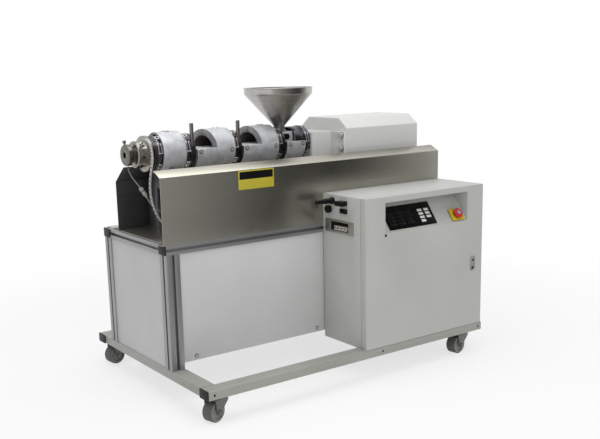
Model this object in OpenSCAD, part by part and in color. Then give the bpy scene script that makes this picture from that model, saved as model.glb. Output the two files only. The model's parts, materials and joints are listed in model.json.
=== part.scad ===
// Bench twin screw extruder on a castor cart, millimetres, Z up, origin at the bottom centre.
// Sizes are set from the left end of the base rails (X), the front of the base frame (Y) and the floor (Z).

/* [Base cart] */
// length of the base frame
base_l = 1130; // [1000:5:1300]
// depth of the base frame
base_d = 770; // [720:5:900]
// width of the base tubes
tube_w = 50; // [46:1:70]
// height of the base tubes
tube_h = 30; // [22:1:50]
// wall of the base tubes
tube_wall = 3; // [2:0.5:5]
// corner radius of the base tubes
tube_r = 4; // [1:0.5:8]
// thickness of the black end caps
cap_t = 3; // [2:0.5:6]
// depth of the plugs on the end caps
plug_in = 12; // [6:1:30]
// bolt holes in the front base tube
tube_hole_d = 8; // [5:0.5:12]
// distance of the left bolt hole from the end of its tube
hole_in_left = 20; // [14:1:60]
// distance of the middle bolt hole from the left end
hole_mid = 667; // [400:1:800]
// distance of the right bolt hole from the end of its tube
hole_in_right = 12; // [8:1:60]

/* [Castors] */
// wheel diameter
wheel_d = 65; // [55:1:90]
// wheel width
wheel_w = 36; // [18:1:45]
// axle diameter
axle_d = 8; // [6:0.5:12]
// swivel stem diameter
stem_d = 14; // [10:0.5:20]
// distance of the axle behind the swivel axis
trail = 26; // [18:1:36]
// fork sheet thickness
fork_t = 4; // [3:0.5:6]
// gap between the wheel and the crown of the fork
fork_gap = 5; // [3:0.5:8]
// gap between the wheel and the cheeks of the fork
cheek_gap = 3; // [2:0.5:6]
// radius of the cheeks round the axle
boss_r = 10; // [7:0.5:14]
// reach of the crown behind the axle
crown_over = 14; // [8:1:20]
// reach of the crown before the stem
crown_back = 13; // [10:1:20]
// height of the cheeks' front edge
crown_skirt = 8; // [4:1:14]
// gap between the fork and its top plate
swivel_gap = 1; // [0.6:0.1:2]
// wall of the wheel's hub
hub_wall = 6; // [4:0.5:8]
// depth of the wheel's web below its sides
web_in = 4; // [2:0.5:6]
// height of the tread
tread_h = 10; // [7:0.5:13]
// bevel of the tread
tread_edge = 3; // [1:0.5:5]
// top plate thickness
plate_t = 3; // [2:0.5:6]
// top plate side
plate_w = 66; // [58:1:80]
// distance of the swivel axis from the ends of the frame
castor_in_x = 58; // [50:1:80]
// distance of the swivel axis from the sides of the frame
castor_in_y = 42; // [38:1:70]

/* [Slotted frame] */
// distance of the enclosure behind the front of the base
enc_y = 220; // [190:1:240]
// depth of the enclosure
enc_d = 445; // [420:5:480]
// width of the slotted posts and depth of the slotted rails
post_w = 45; // [40:1:60]
// height of the posts
post_h = 366; // [300:2:450]
// height of the slotted rails
rail_h = 30; // [28:1:45]
// mouth of the slots
slot_w = 9; // [6:0.5:12]
// lip over the slots
slot_lip = 4; // [2:0.5:5]
// width of the slots behind the lip
slot_in = 17; // [14:0.5:18]
// depth of the slots
slot_d = 11; // [8:0.5:12]
// panel thickness
panel_t = 3; // [1.5:0.5:6]
// how far the panels lie behind the outer faces
panel_in = 4; // [2:0.5:8]
// air gap under the front and rear panels
panel_gap = 20; // [10:1:40]

/* [Trough] */
// sheet thickness of the trough
sheet_t = 2; // [1:0.25:4]
// height of the front wall up to its bend
front_wall_h = 205; // [180:1:230]
// reach of the front flange towards the barrel
flange_in = 38; // [25:1:55]
// rise of the front flange
flange_rise = 19; // [8:1:30]
// turned down edge of the flanges
lip_h = 8; // [4:0.5:14]
// foot of the walls
foot_w = 40; // [25:1:44]
// distance between the front and rear wall
trough_w = 352; // [346:1:372]
// height of the rear wall up to its bend
rear_wall_h = 160; // [130:1:175]
// reach of the rear slope towards the barrel
slope_in = 67; // [40:1:75]
// rise of the rear slope
slope_rise = 53; // [30:1:60]
// how far the deck starts behind the left end
deck_in = 10; // [5:1:40]
// reach of the front wall before the left post
trough_over = 8; // [0:1:20]
// distance of the bulkhead from the left end
bulkhead_x = 110; // [100:1:140]
// thickness of the bulkhead
bulkhead_t = 10; // [6:0.5:16]
// width of the bulkhead
bulkhead_w = 224; // [200:1:260]
// width of the bulkhead's legs
bulkhead_leg = 57; // [40:1:80]
// height of the passage between the legs
bulkhead_open_h = 140; // [90:1:160]
// bevel of the bulkhead's rear corner under the slope of the trough
bulkhead_cut = 50; // [30:1:60]
// depth of the bulkhead's top below the barrel axis
saddle_in = 44; // [36:1:60]
// radius of the cable glands
gland_r = 7; // [6:0.5:10]
// length of the cable glands
gland_l = 8; // [5:0.5:14]
// distance of the bulkhead glands before the barrel axis
gland_in = 83; // [65:1:100]
// height of the lower gland above the deck
gland_low = 32; // [20:1:45]
// height of the upper gland above the deck
gland_high = 72; // [60:1:100]

/* [Barrel] */
// distance of the barrel axis behind the front wall
axis_in = 205; // [200:1:210]
// height of the barrel axis above the deck
axis_h = 258; // [240:1:270]
// radius of the barrel
barrel_r = 46; // [40:0.5:48]
// radius of the heater bands
band_r = 55; // [52:0.5:57]
// radius of the collar before the drive
collar_r = 55; // [52:0.5:65]
// outer radius of the cast shrouds
shroud_r = 66; // [62:0.5:69]
// inner radius of the closed shroud
shroud_in_r = 58; // [57.5:0.5:60]
// rounding of the closed shroud's ends
shroud_edge = 2; // [1:0.5:4]
// end wall of the closed shroud
shroud1_wall = 3.5; // [2:0.5:6]
// radius of the air tunnels
tunnel_r = 44; // [32:0.5:46]
// height of the flat on the cradles above the axis
split_h = 7; // [4:0.5:20]
// thickness of the flat lid over the barrel
lid_t = 3; // [2:0.25:6]
// back wall of the air tunnels
tunnel_back = 6; // [3:0.5:12]
// start of the closed shroud
shroud1_x = 84; // [80:1:90]
// length of the closed shroud
shroud1_l = 81; // [70:1:86]
// start of the first cradle
shroud2_x = 204; // [200:1:210]
// start of the second cradle
shroud3_x = 378; // [374:1:384]
// length of the cradles
cradle_l = 141; // [130:1:145]
// length of the arches on the cradles
arch_l = 68; // [50:1:90]
// slant of the arches' open faces, in degrees
arch_slant = 14.5; // [0:0.5:20]
// start of the feed cradle
feed_x = 554; // [550:1:560]
// length of the feed cradle
feed_l = 77; // [70:1:80]
// radius of the black feed hood
hood_r = 54; // [48:0.5:60]
// length of the black feed hood
hood_l = 31; // [24:1:36]
// wall of the black feed hood
hood_wall = 4; // [2:0.5:8]
// distance of the lever rods before the axis
rod_y = 46; // [36:0.5:56]
// gap between the lever rods and the cradles
rod_gap = 3; // [1.5:0.5:8]
// diameter of the lever rods
rod_d = 13; // [10:0.5:16]
// height of the lever rods above the axis
rod_h = 89; // [70:1:110]
// width of the band clips
clip_w = 12; // [8:0.5:16]
// height of the band clips
clip_h = 22; // [16:0.5:28]
// how far the band clips stand out
clip_out = 7; // [5:0.5:9]
// how far the band clips reach behind the band's crown
clip_wrap = 4; // [2:0.5:6]
// radius of the pins in the band clips
clip_pin_r = 3; // [2:0.25:4]
// reach of the clip pins past the clips
clip_pin_over = 1; // [0.5:0.25:2]
// width of the slots in the band clips
clip_slot_w = 4; // [2:0.5:6]
// turn of the band clips towards the top, in degrees
clip_turn = 40; // [20:1:60]
// distance of the first and the last band clip from the casting beside them
clip_near = 8; // [6:0.5:14]
// distance of the clips behind the first two shrouds
clip_off = 10; // [6:0.5:30]
// distance of the clip behind the third shroud
clip_far = 12; // [6:0.5:28]
// spacing of the ribs on the heater bands
rib_pitch = 12; // [8:1:20]
// width of the grooves between the ribs
rib_groove = 3; // [1.5:0.5:5]
// depth of the grooves between the ribs
rib_deep = 2; // [1:0.25:3.5]
// gap between the first band and what encloses it
band_gap = 4; // [2:0.5:8]
// gap between the feed cradle and the coupling
coupling_gap = 29; // [10:0.5:40]

/* [Die] */
// place of the die face
die_x = -20; // [-30:1:-6]
// radius of the die head
die_r = 33.5; // [28:0.5:38]
// length of the die head
die_l = 16; // [8:0.5:20]
// bevel of the die head's front edge
die_edge = 2; // [1:0.5:4]
// radius of the die neck
die_neck_r = 25; // [18:0.5:27]
// die bore
die_bore = 20; // [8:0.5:28]
// depth of the die bore
die_bore_l = 16; // [8:0.5:18]
// radius of the adapter
adapter_r = 42; // [38:0.5:46]
// start of the adapter
adapter_x = 8; // [6:0.5:12]
// length of the adapter
adapter_l = 34; // [28:0.5:40]
// bevel of the adapter's front edge
adapter_edge = 3; // [1:0.5:5]
// radius of the head flange
head_r = 57; // [50:0.5:60]
// thickness of the head flange
head_t = 12; // [8:0.5:16]
// bevel of the head flange
head_edge = 1; // [0.5:0.5:3]
// diameter of the die bolt
die_bolt_d = 7; // [5:0.5:8]
// diameter of the die bolt's head
die_bolt_head = 11; // [9:0.5:14]
// depth of the die bolt in the die head
die_bolt_in = 6; // [3:0.5:10]
// how far the die bolt's shank shows
die_bolt_up = 6; // [3:0.5:10]
// height of the die bolt's head
die_bolt_head_h = 7; // [4:0.5:10]
// lean of the die bolt to the rear, in degrees
die_bolt_lean = 20; // [0:1:45]
// place of the gland on the adapter
die_gland_in = 17; // [12:0.5:24]
// length of the gland on the adapter
die_gland_l = 10; // [6:0.5:14]

/* [Hopper] */
// place of the hopper axis
hopper_x = 566; // [562:1:572]
// radius of the hopper rim
rim_r = 117; // [95:1:130]
// height of the hopper rim
rim_h = 21; // [12:1:30]
// height of the cone
cone_h = 108; // [80:1:140]
// radius of the hopper neck
neck_r = 20; // [16:0.5:24]
// height of the hopper neck
neck_h = 20; // [12:1:30]
// sheet thickness of the hopper
hopper_t = 2; // [1.5:0.25:4]
// width of the feed block
block_w = 66; // [56:1:76]
// height of the feed block above the cradle flat
block_h = 33; // [18:1:40]
// distance of the feed block from the second cradle
block_in = 23; // [16:1:26]
// gap between the feed block and the black hood
block_gap = 1; // [0.5:0.25:3]
// radius of the clamp knob
knob_r = 11; // [8:0.5:13]
// radius of the clamp knob's lobes
lobe_r = 3; // [2:0.25:4]
// thickness of the clamp knob
knob_t = 10; // [6:0.5:14]
// gap between the clamp knob and the feed block
knob_gap = 6; // [3:0.5:10]

/* [Drive] */
// width of the coupling housing
coupling_w = 128; // [110:1:144]
// rounding of the coupling housing's upright edges
coupling_edge = 9; // [3:0.5:16]
// place of the gearbox plate
gear_x = 748; // [735:1:760]
// thickness of the gearbox plate
gear_t = 12; // [8:0.5:16]
// width of the gearbox plate
gear_w = 262; // [210:1:270]
// height of the gearbox plate above the axis
gear_up = 32; // [30:1:44]
// bolt head radius
bolt_r = 9; // [6:0.5:10]
// bolt head height
bolt_h = 10; // [5:0.5:12]
// distance of the bolts from the edges of the plate
bolt_in = 12; // [11:0.5:20]
// distance between the two bolts of a side
bolt_pitch = 46; // [30:1:50]
// length of the motor cover
cover_l = 334; // [280:2:350]
// gap between the motor cover and the end of the trough
cover_gap = 34; // [10:1:80]
// width of the motor cover
cover_w = 266; // [230:2:274]
// height of the motor cover above the axis
cover_up = 78; // [70:1:100]
// slope of the motor cover's top edges, across
cover_ch_y = 46; // [20:1:60]
// slope of the motor cover's top edges, upright
cover_ch_z = 34; // [15:1:45]

/* [Cabinet] */
// width of the control cabinet
cab_w = 535; // [500:5:545]
// height of the control cabinet
cab_h = 498; // [460:2:540]
// wall of the control cabinet
cab_wall = 2; // [1.5:0.25:4]
// depth of the door
door_t = 26; // [20:0.5:32]
// sheet thickness of the door
door_sheet = 2; // [1.5:0.25:3]
// gap between the door and the cabinet
door_gap = 0.8; // [0.5:0.1:0.9]
// width of the console recess
recess_w = 376; // [360:2:390]
// height of the console recess
recess_h = 99; // [90:1:110]
// distance of the recess from the hinged edge of the door
recess_in = 83; // [70:1:95]
// distance of the recess from the top of the door
recess_top = 20; // [12:1:30]
// depth of the recess at its top
recess_d = 76; // [60:1:90]
// sheet thickness of the console
console_t = 2.5; // [1.5:0.25:4]
// distance of the keypad from the left end of the recess
keypad_in = 24; // [4:1:30]
// distance of the keypad from the lower edge of the slope
keypad_up = 6; // [3:0.5:14]
// width of the keypad
keypad_w = 213; // [160:1:230]
// height of the keypad along the slope
keypad_h = 86; // [70:1:96]
// thickness of the keypad
keypad_t = 2; // [1:0.25:4]
// stop switch plate width
stop_w = 56; // [54:1:70]
// stop switch plate height
stop_h = 44; // [44:1:60]
// height of the stop switch's body above the slope
stop_t = 5; // [1:0.25:12]
// distance of the stop switch from the right end of the recess
stop_in = 11; // [3:0.5:16]
// distance of the stop button from the lower edge of the slope
stop_up = 25.5; // [24:0.5:60]
// diameter of the stop button's head
stop_d = 36; // [30:1:43]
// height of the stop button's head
stop_head_h = 9; // [6:0.5:16]
// rounding of the stop button's head
stop_edge = 3; // [1:0.5:5]
// diameter of the stop button's stem
stop_stem = 22; // [16:1:26]
// travel of the stop button
stop_travel = 5; // [3:0.5:7]
// gap under the pushed stop button
stop_gap = 1; // [0.5:0.25:2]
// length of the stop button's stem behind the slope
stop_shank = 16; // [10:1:24]
// distance of the latch from the free edge of the door
latch_in = 46; // [24:1:70]
// height of the latch above the bottom of the door
latch_up = 222; // [100:1:340]
// latch width
latch_w = 20; // [14:1:26]
// latch height
latch_h = 48; // [36:1:60]
// latch thickness
latch_t = 3; // [2:0.5:5]
// rim of the latch round its pull
latch_rim = 3; // [2:0.5:5]
// depth of the latch's pull and key hole
latch_deep = 1; // [0.5:0.25:2]
// radius of the latch's key hole
latch_key_r = 4; // [3:0.25:5]
// distance of the connector plate's middle behind the cabinet's front edge
conn_in = 106; // [80:1:115]
// height of the connector plate's middle above the bottom of the cabinet
conn_up = 394; // [200:1:400]
// connector plate width
conn_w = 146; // [120:1:155]
// connector plate height
conn_h = 44; // [38:1:54]
// connector opening width
conn_open_w = 94; // [70:1:105]
// connector opening height
conn_open_h = 30; // [22:1:32]
// diameter of the round plug's collar
plug_d = 24; // [18:1:30]
// diameter of the round plug's body
plug_body_d = 18; // [14:0.5:22]
// length of the round plug
plug_l = 70; // [40:1:90]
// length of the round plug's collar
plug_collar = 8; // [4:0.5:12]
// step of the round plug's grip
plug_step = 2; // [1:0.25:3]
// height of the round plug above the connector plate
plug_up = 84; // [60:1:100]
// distance of the round plug behind the connector plate's middle
plug_off = 34; // [20:1:45]
// width of the square plug and its socket
jack_w = 35; // [24:1:40]
// height of the square plug and its socket
jack_h = 15; // [10:1:18]
// distance of the square plug's middle before the connector plate's middle
jack_off = 24; // [20:1:45]
// height of the square plug above the connector plate
jack_up = 81; // [60:1:100]
// length of the square plug
jack_l = 26; // [12:1:40]
// height of the empty socket above the connector plate
socket_up = 54; // [30:1:58]
// thickness of the empty socket
socket_t = 5; // [3:0.5:10]
// radius of the round cap
round_cap_r = 13; // [9:0.5:14]
// thickness of the round cap
round_cap_t = 12; // [6:0.5:20]
// distance of the round cap behind the connector plate's middle
round_cap_off = 52; // [40:1:60]

/* [Hidden] */
$fn = 64;
eps = 0.5;
// clearances
pin_gap = 0.3;
fit_gap = 0.3;
seat_gap = 0.1;
// heights
crown_z = wheel_d + fork_gap;
castor_h = crown_z + fork_t + swivel_gap + plate_t;
frame_z = castor_h + tube_h;
rail_z = frame_z + post_h;
deck_z = rail_z + rail_h;
axis_z = deck_z + sheet_t + axis_h;
axle_z = wheel_d / 2;
fork_in = wheel_w / 2 + cheek_gap;
fork_w = 2 * (fork_in + fork_t);
axis_y = enc_y + axis_in;
rear_y = enc_y + trough_w;
enc_y1 = enc_y + enc_d;
// the whole part stands over its own middle
mid_y = (base_d - latch_t) / 2;
// bands fill the gaps between the shrouds
shroud1_end = shroud1_x + shroud1_l;
shroud2_end = shroud2_x + cradle_l;
shroud3_end = shroud3_x + cradle_l;
feed_end = feed_x + feed_l;
head_x = adapter_x + adapter_l;
barrel_x = head_x + head_t;
coupling_x = feed_end + coupling_gap;
cover_x = gear_x + gear_t;
line_x = base_l - sheet_t - cover_gap - cover_l - cover_x;
mid_x = (line_x + die_x + base_l + cap_t) / 2;
band_spans = [
    [barrel_x + band_gap, shroud1_end - band_gap, band_r],
    [shroud1_end + fit_gap, shroud2_x - fit_gap, band_r],
    [shroud2_end + fit_gap, shroud3_x - fit_gap, band_r],
    [shroud3_end + fit_gap, feed_x - fit_gap, band_r],
    [feed_end + fit_gap, coupling_x, collar_r],
];
clip_places = [
    [shroud1_x - clip_near, band_r], [shroud1_end + clip_off, band_r], [shroud2_end + clip_off, band_r],
    [shroud3_end + clip_far, band_r], [feed_end + coupling_gap / 2, collar_r],
];
rod_places = [for (x = [shroud2_x, shroud3_x]) x - rod_d / 2 - rod_gap];
flat_zones = [[shroud2_x, cradle_l], [shroud3_x, cradle_l], [feed_x, feed_l]];
block_x = shroud3_end + block_in;
block_l = feed_end - hood_l - block_gap - block_x;
block_top = split_h + block_h;
slope_end = line_x + coupling_x;
// cabinet
cab_x = base_l - cab_w;
cab_y = door_t + door_gap;
cab_z1 = frame_z + cab_h;
recess_x = cab_x + recess_in;
recess_z1 = cab_z1 - recess_top;
recess_z0 = recess_z1 - recess_h;
slope_ang = atan2(recess_d - door_sheet, recess_h);
slope_len = norm([recess_d - door_sheet, recess_h]);
keypad_x = recess_x + keypad_in;
stop_x = recess_x + recess_w - stop_in - stop_w / 2;
latch_x = base_l - latch_in;
latch_z = frame_z + latch_up;
conn_y = cab_y + conn_in;
conn_z = frame_z + conn_up;
castors = [
    [castor_in_x, castor_in_y, 197],
    [base_l - castor_in_x, castor_in_y, 187],
    [castor_in_x, base_d - castor_in_y, 190],
    [base_l - castor_in_x, base_d - castor_in_y, 184],
];
// cords: routes chosen by hand, measured like every other place
braid_d = 7;
braid_route = [
    [25, 389, 800], [24, 382, 807], [24, 372, 812], [26, 361, 810], [30, 352, 800], [33, 346, 784], [34, 343, 763],
    [31, 341, 740], [25, 340, 715], [20, 339, 688], [18, 338, 661], [20, 338, 634], [26, 338, 608], [36, 338, 582],
    [50, 339, 560], [68, 340, 546], [86, 341, 541], [102, 342, 540],
];
lead_d = 4;
lead_route = [
    [-12, 421, 730], [-12, 420, 718], [-8, 414, 702], [-2, 404, 686], [6, 392, 670], [13, 380, 653], [20, 370, 634],
    [28, 362, 616], [40, 356, 600], [56, 350, 588], [76, 344, 581], [92, 342, 580], [102, 342, 580],
];

// Shared helpers

module place(p = [0, 0, 0]) translate([p[0] - mid_x, p[1] - mid_y, p[2]]) children();

// Turns a profile drawn in (Y, Z) into a bar of length l along X.
module along_x(l) rotate([90, 0, 90]) linear_extrude(l) children();

// Turns a profile drawn in (X, Z) into a bar of length l along Y.
module along_y(l) translate([0, l, 0]) rotate([90, 0, 0]) linear_extrude(l) children();

// A round rod of length l along X.
module rod_x(r, l) rotate([0, 90, 0]) cylinder(r = r, h = l);

module rounded(w, h, r) {
    translate([r, 0]) square([w - 2 * r, h]);
    translate([0, r]) square([w, h - 2 * r]);
    for (x = [r, w - r], y = [r, h - r]) translate([x, y]) circle(r);
}

module tube_profile(w, h) difference() {
    rounded(w, h, tube_r);
    translate([tube_wall, tube_wall]) square([w - 2 * tube_wall, h - 2 * tube_wall]);
}

// One slot cut from the edge y = 0, centred on x = 0.
module slot() {
    translate([-slot_w / 2, -eps]) square([slot_w, slot_lip + 2 * eps]);
    translate([-slot_in / 2, slot_lip]) square([slot_in, slot_d - slot_lip]);
}

module slotted_profile(w, h) difference() {
    square([w, h]);
    translate([w / 2, 0]) slot();
    translate([w / 2, h]) mirror([0, 1]) slot();
    translate([0, h / 2]) rotate(-90) slot();
    translate([w, h / 2]) rotate(90) slot();
}

// Outline of a folded sheet: the path is one side, the other lies t to its left.
function seg_normal(a, b) = let (d = b - a) [-d[1], d[0]] / norm(d);
function mitre(p, i) = let (
    n = len(p),
    a = i > 0 ? seg_normal(p[i - 1], p[i]) : seg_normal(p[0], p[1]),
    b = i < n - 1 ? seg_normal(p[i], p[i + 1]) : a
) (a + b) / (1 + a * b);
function folded(p, t) = concat(p, [for (i = [len(p) - 1 : -1 : 0]) p[i] + t * mitre(p, i)]);

// A round tube swept along a route.
function tangent(p, i) = let (
    d = p[min(i + 1, len(p) - 1)] - p[max(i - 1, 0)]
) d / norm(d);
// Rings follow their forerunner so that the sides never cross.
function carried(u, t) = let (w = u - (u * t) * t) w / norm(w);
function frames(p, i = 0, u = [0, 1, 0.01]) = i >= len(p) ? [] : let (
    t = tangent(p, i),
    w = carried(u, t)
) concat([[t, w]], frames(p, i + 1, w));

module cord(p, d, n) {
    f = frames(p);
    m = len(p);
    pts = [for (i = [0 : m - 1], k = [0 : n - 1]) let (
        w = f[i][1],
        v = cross(f[i][0], w)
    ) p[i] + d / 2 * (cos(360 * k / n) * w + sin(360 * k / n) * v)];
    sides = [for (i = [0 : m - 2], k = [0 : n - 1]) let (
        a = i * n + k,
        b = i * n + (k + 1) % n
    ) [a, a + n, b + n, b]];
    ends = [[for (k = [0 : n - 1]) k], [for (k = [n - 1 : -1 : 0]) (m - 1) * n + k]];
    polyhedron(points = pts, faces = concat(sides, ends));
}

// Base cart

module base_tube_x(y) place([0, y, castor_h]) along_x(base_l) tube_profile(tube_w, tube_h);

module base_rail_front() color("#a3a294") difference() {
    base_tube_x(0);
    for (x = [hole_in_left, hole_mid, base_l - hole_in_right])
        place([x, -eps, castor_h + tube_h / 2]) rotate([-90, 0, 0])
            cylinder(d = tube_hole_d, h = tube_wall + 2 * eps);
}

module base_rail_rear() color("#a3a294") base_tube_x(base_d - tube_w);

module base_cross(x) place([x, tube_w, castor_h]) along_y(base_d - 2 * tube_w) tube_profile(tube_w, tube_h);

module base_cross_left() color("#a3a294") base_cross(0);

module base_cross_right() color("#a3a294") base_cross(base_l - tube_w);

// A cap with a plug that stops short of the tube's inner walls.
module tube_cap() {
    translate([-cap_t, 0, 0]) along_x(cap_t) rounded(tube_w, tube_h, tube_r);
    plug = tube_wall + fit_gap;
    translate([0, plug, plug]) cube([plug_in, tube_w - 2 * plug, tube_h - 2 * plug]);
}

module base_caps() color("#1c1b1e") for (y = [0, base_d - tube_w]) {
    place([0, y, castor_h]) tube_cap();
    place([base_l, y, castor_h]) mirror([1, 0, 0]) tube_cap();
}

// Castors

module castor_plates() color("#8f8f8b") for (c = castors) place([c[0], c[1], castor_h - plate_t]) difference() {
    translate([-plate_w / 2, -plate_w / 2, 0]) cube([plate_w, plate_w, plate_t]);
    translate([0, 0, -eps]) cylinder(d = stem_d + 2 * pin_gap, h = plate_t + 2 * eps);
}

// One cheek, drawn in (X, Z) with the swivel axis at x = 0.
module cheek_profile() {
    translate([trail, axle_z]) circle(boss_r);
    polygon([
        [trail - boss_r, axle_z], [trail + boss_r, axle_z],
        [trail + crown_over, crown_z + fork_t], [-crown_back, crown_z + fork_t], [-crown_back, crown_z - crown_skirt],
    ]);
}

module castor_fork(i) color("#b3b1aa") place([castors[i][0], castors[i][1], 0]) rotate([0, 0, castors[i][2]]) {
    for (y = [-fork_in - fork_t, fork_in]) translate([0, y, 0]) along_y(fork_t) cheek_profile();
    translate([-crown_back, -fork_w / 2, crown_z]) cube([crown_back + trail + crown_over, fork_w, fork_t]);
    translate([0, 0, crown_z + fork_t / 2]) cylinder(d = stem_d, h = fork_t / 2 + swivel_gap + plate_t - pin_gap);
    translate([trail, -fork_w / 2 - axle_d / 4, axle_z]) rotate([-90, 0, 0])
        cylinder(d = axle_d, h = fork_w + axle_d / 2);
}

module castor_wheel(i) color("#9b9890") place([castors[i][0], castors[i][1], axle_z])
    rotate([0, 0, castors[i][2]]) translate([trail, 0, 0]) rotate([90, 0, 0]) rotate_extrude() wheel_profile();

// Half section of a wheel: hub, thin web and crowned tread.
module wheel_profile() {
    r = wheel_d / 2;
    b = axle_d / 2 + pin_gap;
    h = wheel_w / 2;
    c = b + hub_wall;
    t = r - tread_h;
    w = h - web_in;
    e = h - tread_edge;
    slant = web_in / 2;
    polygon([
        [b, -h], [c, -h], [c + slant, -w], [t - slant, -w], [t, -h], [r - tread_edge, -h], [r, -e],
        [r, e], [r - tread_edge, h], [t, h], [t - slant, w], [c + slant, w], [c, h], [b, h],
    ]);
}

module fork_fl() castor_fork(0);
module fork_fr() castor_fork(1);
module fork_rl() castor_fork(2);
module fork_rr() castor_fork(3);
module wheel_fl() castor_wheel(0);
module wheel_fr() castor_wheel(1);
module wheel_rl() castor_wheel(2);
module wheel_rr() castor_wheel(3);

// Slotted frame and panels

module post(x, y) place([x, y, frame_z]) linear_extrude(post_h) slotted_profile(post_w, post_w);

module posts_front() color("#b9bab5") for (x = [0, base_l - post_w]) post(x, enc_y);

module posts_rear() color("#b9bab5") for (x = [0, base_l - post_w]) post(x, enc_y1 - post_w);

module top_frame() color("#b9bab5") {
    for (y = [enc_y, enc_y1 - post_w]) place([0, y, rail_z]) along_x(base_l) slotted_profile(post_w, rail_h);
    for (x = [0, base_l - post_w])
        place([x, enc_y + post_w + fit_gap, rail_z]) along_y(enc_d - 2 * post_w - 2 * fit_gap)
            slotted_profile(post_w, rail_h);
}

module rail_caps() color("#1c1b1e") for (x = [-cap_t, base_l], y = [enc_y, enc_y1 - post_w])
    place([x, y, rail_z]) along_x(cap_t) rounded(post_w, rail_h, tube_r);

module side_panel(x) place([x, enc_y + post_w, frame_z]) cube([panel_t, enc_d - 2 * post_w, post_h]);

module panel_left() color("#b8b9b6") side_panel(panel_in);

module panel_right() color("#b8b9b6") side_panel(base_l - panel_in - panel_t);

module long_panel(y)
    place([post_w, y, frame_z + panel_gap]) cube([base_l - 2 * post_w, panel_t, post_h - panel_gap]);

module panel_front() color("#c2c2bf") long_panel(enc_y + panel_in);

module panel_rear() color("#c2c2bf") long_panel(enc_y1 - panel_in - panel_t);

// Trough

module deck() color("#9d9c90")
    place([deck_in, enc_y + foot_w, deck_z]) cube([base_l - deck_in, enc_d - foot_w, sheet_t]);

module trough_front() color("#8c8a7c") {
    bend_z = deck_z + front_wall_h;
    top = [enc_y + flange_in, bend_z + flange_rise];
    path = [[enc_y + foot_w, deck_z], [enc_y, deck_z], [enc_y, bend_z], top, top - [0, lip_h]];
    place([-trough_over, 0, 0]) along_x(base_l + trough_over) polygon(folded(path, -sheet_t));
}

module trough_rear() color("#7d7c72") {
    foot_z = deck_z + sheet_t;
    bend_z = foot_z + rear_wall_h;
    turn_z = foot_z + sheet_t;
    path = [[rear_y + foot_w, turn_z], [rear_y, turn_z], [rear_y, bend_z], [rear_y - slope_in, bend_z + slope_rise]];
    place() difference() {
        translate([deck_in, 0, 0]) along_x(base_l - deck_in) polygon(folded(path, sheet_t));
        translate([slope_end, rear_y - 2 * slope_in, bend_z]) cube([base_l, 3 * slope_in, 2 * slope_rise]);
    }
}

module trough_end() color("#8c8a7c") {
    foot_z = deck_z + sheet_t;
    y0 = enc_y + sheet_t;
    y1 = rear_y - sheet_t;
    top = foot_z + rear_wall_h - sheet_t;
    place([base_l - sheet_t, 0, 0]) along_x(sheet_t) polygon([
        [y0, foot_z], [y1, foot_z], [y1, top], [y0, top],
    ]);
}

// Carries the closed shroud in a saddle and lets the cables pass between its legs.
module bulkhead() color("#a9a79b") place([line_x + bulkhead_x, axis_y, deck_z + sheet_t]) {
    along_x(bulkhead_t) difference() {
        translate([-bulkhead_w / 2, 0]) square([bulkhead_w, axis_h - saddle_in]);
        translate([bulkhead_leg - bulkhead_w / 2, -eps])
            square([bulkhead_w - 2 * bulkhead_leg, bulkhead_open_h + eps]);
        translate([bulkhead_w / 2, axis_h - saddle_in]) rotate(45) square(sqrt(2) * bulkhead_cut, center = true);
        translate([0, axis_h]) circle(r = shroud_r + fit_gap);
    }
    for (z = [gland_low, gland_high]) translate([-gland_l, -gland_in, z]) rod_x(gland_r, gland_l);
}

// Barrel and heating zones

module at_axis(x) place([line_x + x, axis_y, axis_z]) children();

// Half disc or sector of a cradle, drawn in (Y, Z) about the axis.
module below_split(h) translate([-2 * shroud_r, -2 * shroud_r]) square([4 * shroud_r, 2 * shroud_r + h]);

// Round barrel, milled flat under the lids, with the feed block standing on it.
module barrel() color("#6d6b64") difference() {
    union() {
        difference() {
            at_axis(barrel_x) rod_x(barrel_r, coupling_x - barrel_x);
            for (z = flat_zones) at_axis(z[0] - fit_gap) along_x(z[1] + 2 * fit_gap)
                translate([-barrel_r - 1, split_h - lid_t - fit_gap]) square([2 * barrel_r + 2, barrel_r]);
            at_axis(block_x) along_x(block_l) translate([-barrel_r - 1, block_top])
                square([2 * barrel_r + 2, barrel_r]);
        }
        at_axis(block_x) along_x(block_l) translate([-block_w / 2, 0]) square([block_w, block_top]);
    }
    at_axis(hopper_x) cylinder(r = neck_r - hopper_t, h = block_top + eps);
}

// Ribbed sleeves: one closed ring for each span.
module heater_bands() color("#232226") for (s = band_spans) at_axis(s[0]) difference() {
    band(s[1] - s[0], s[2]);
    translate([block_x - s[0] - fit_gap, -block_w / 2 - fit_gap, 0]) cube([block_l, block_w + 2 * fit_gap, 2 * s[2]]);
}

module band(l, r) {
    n = max(1, floor(l / rib_pitch));
    p = l / n;
    rotate([0, 90, 0]) rotate_extrude() difference() {
        translate([barrel_r + fit_gap, 0]) square([r - barrel_r - fit_gap, l]);
        for (i = [0 : n - 1])
            translate([r - rib_deep, (i + 0.5) * p - rib_groove / 2]) square([rib_deep + eps, rib_groove]);
    }
}

module shroud_1() color("#c6c4c6") at_axis(shroud1_x) rotate([0, 90, 0]) rotate_extrude()
    polygon([
        [shroud_in_r, 0], [shroud_r - shroud_edge, 0], [shroud_r, shroud_edge], [shroud_r, shroud1_l - shroud_edge],
        [shroud_r - shroud_edge, shroud1_l],
        [barrel_r + fit_gap, shroud1_l], [barrel_r + fit_gap, shroud1_l - shroud1_wall],
        [shroud_in_r, shroud1_l - shroud1_wall],
    ]);

// Cast cradle with a flat lid; an arch with an open air tunnel covers its right part.
module cradle(l) difference() {
    along_x(l) intersection() {
        circle(r = shroud_r);
        below_split(split_h);
    }
    translate([-eps, 0, 0]) along_x(l + 2 * eps) intersection() {
        circle(r = barrel_r + fit_gap);
        below_split(split_h - lid_t);
    }
}

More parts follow.
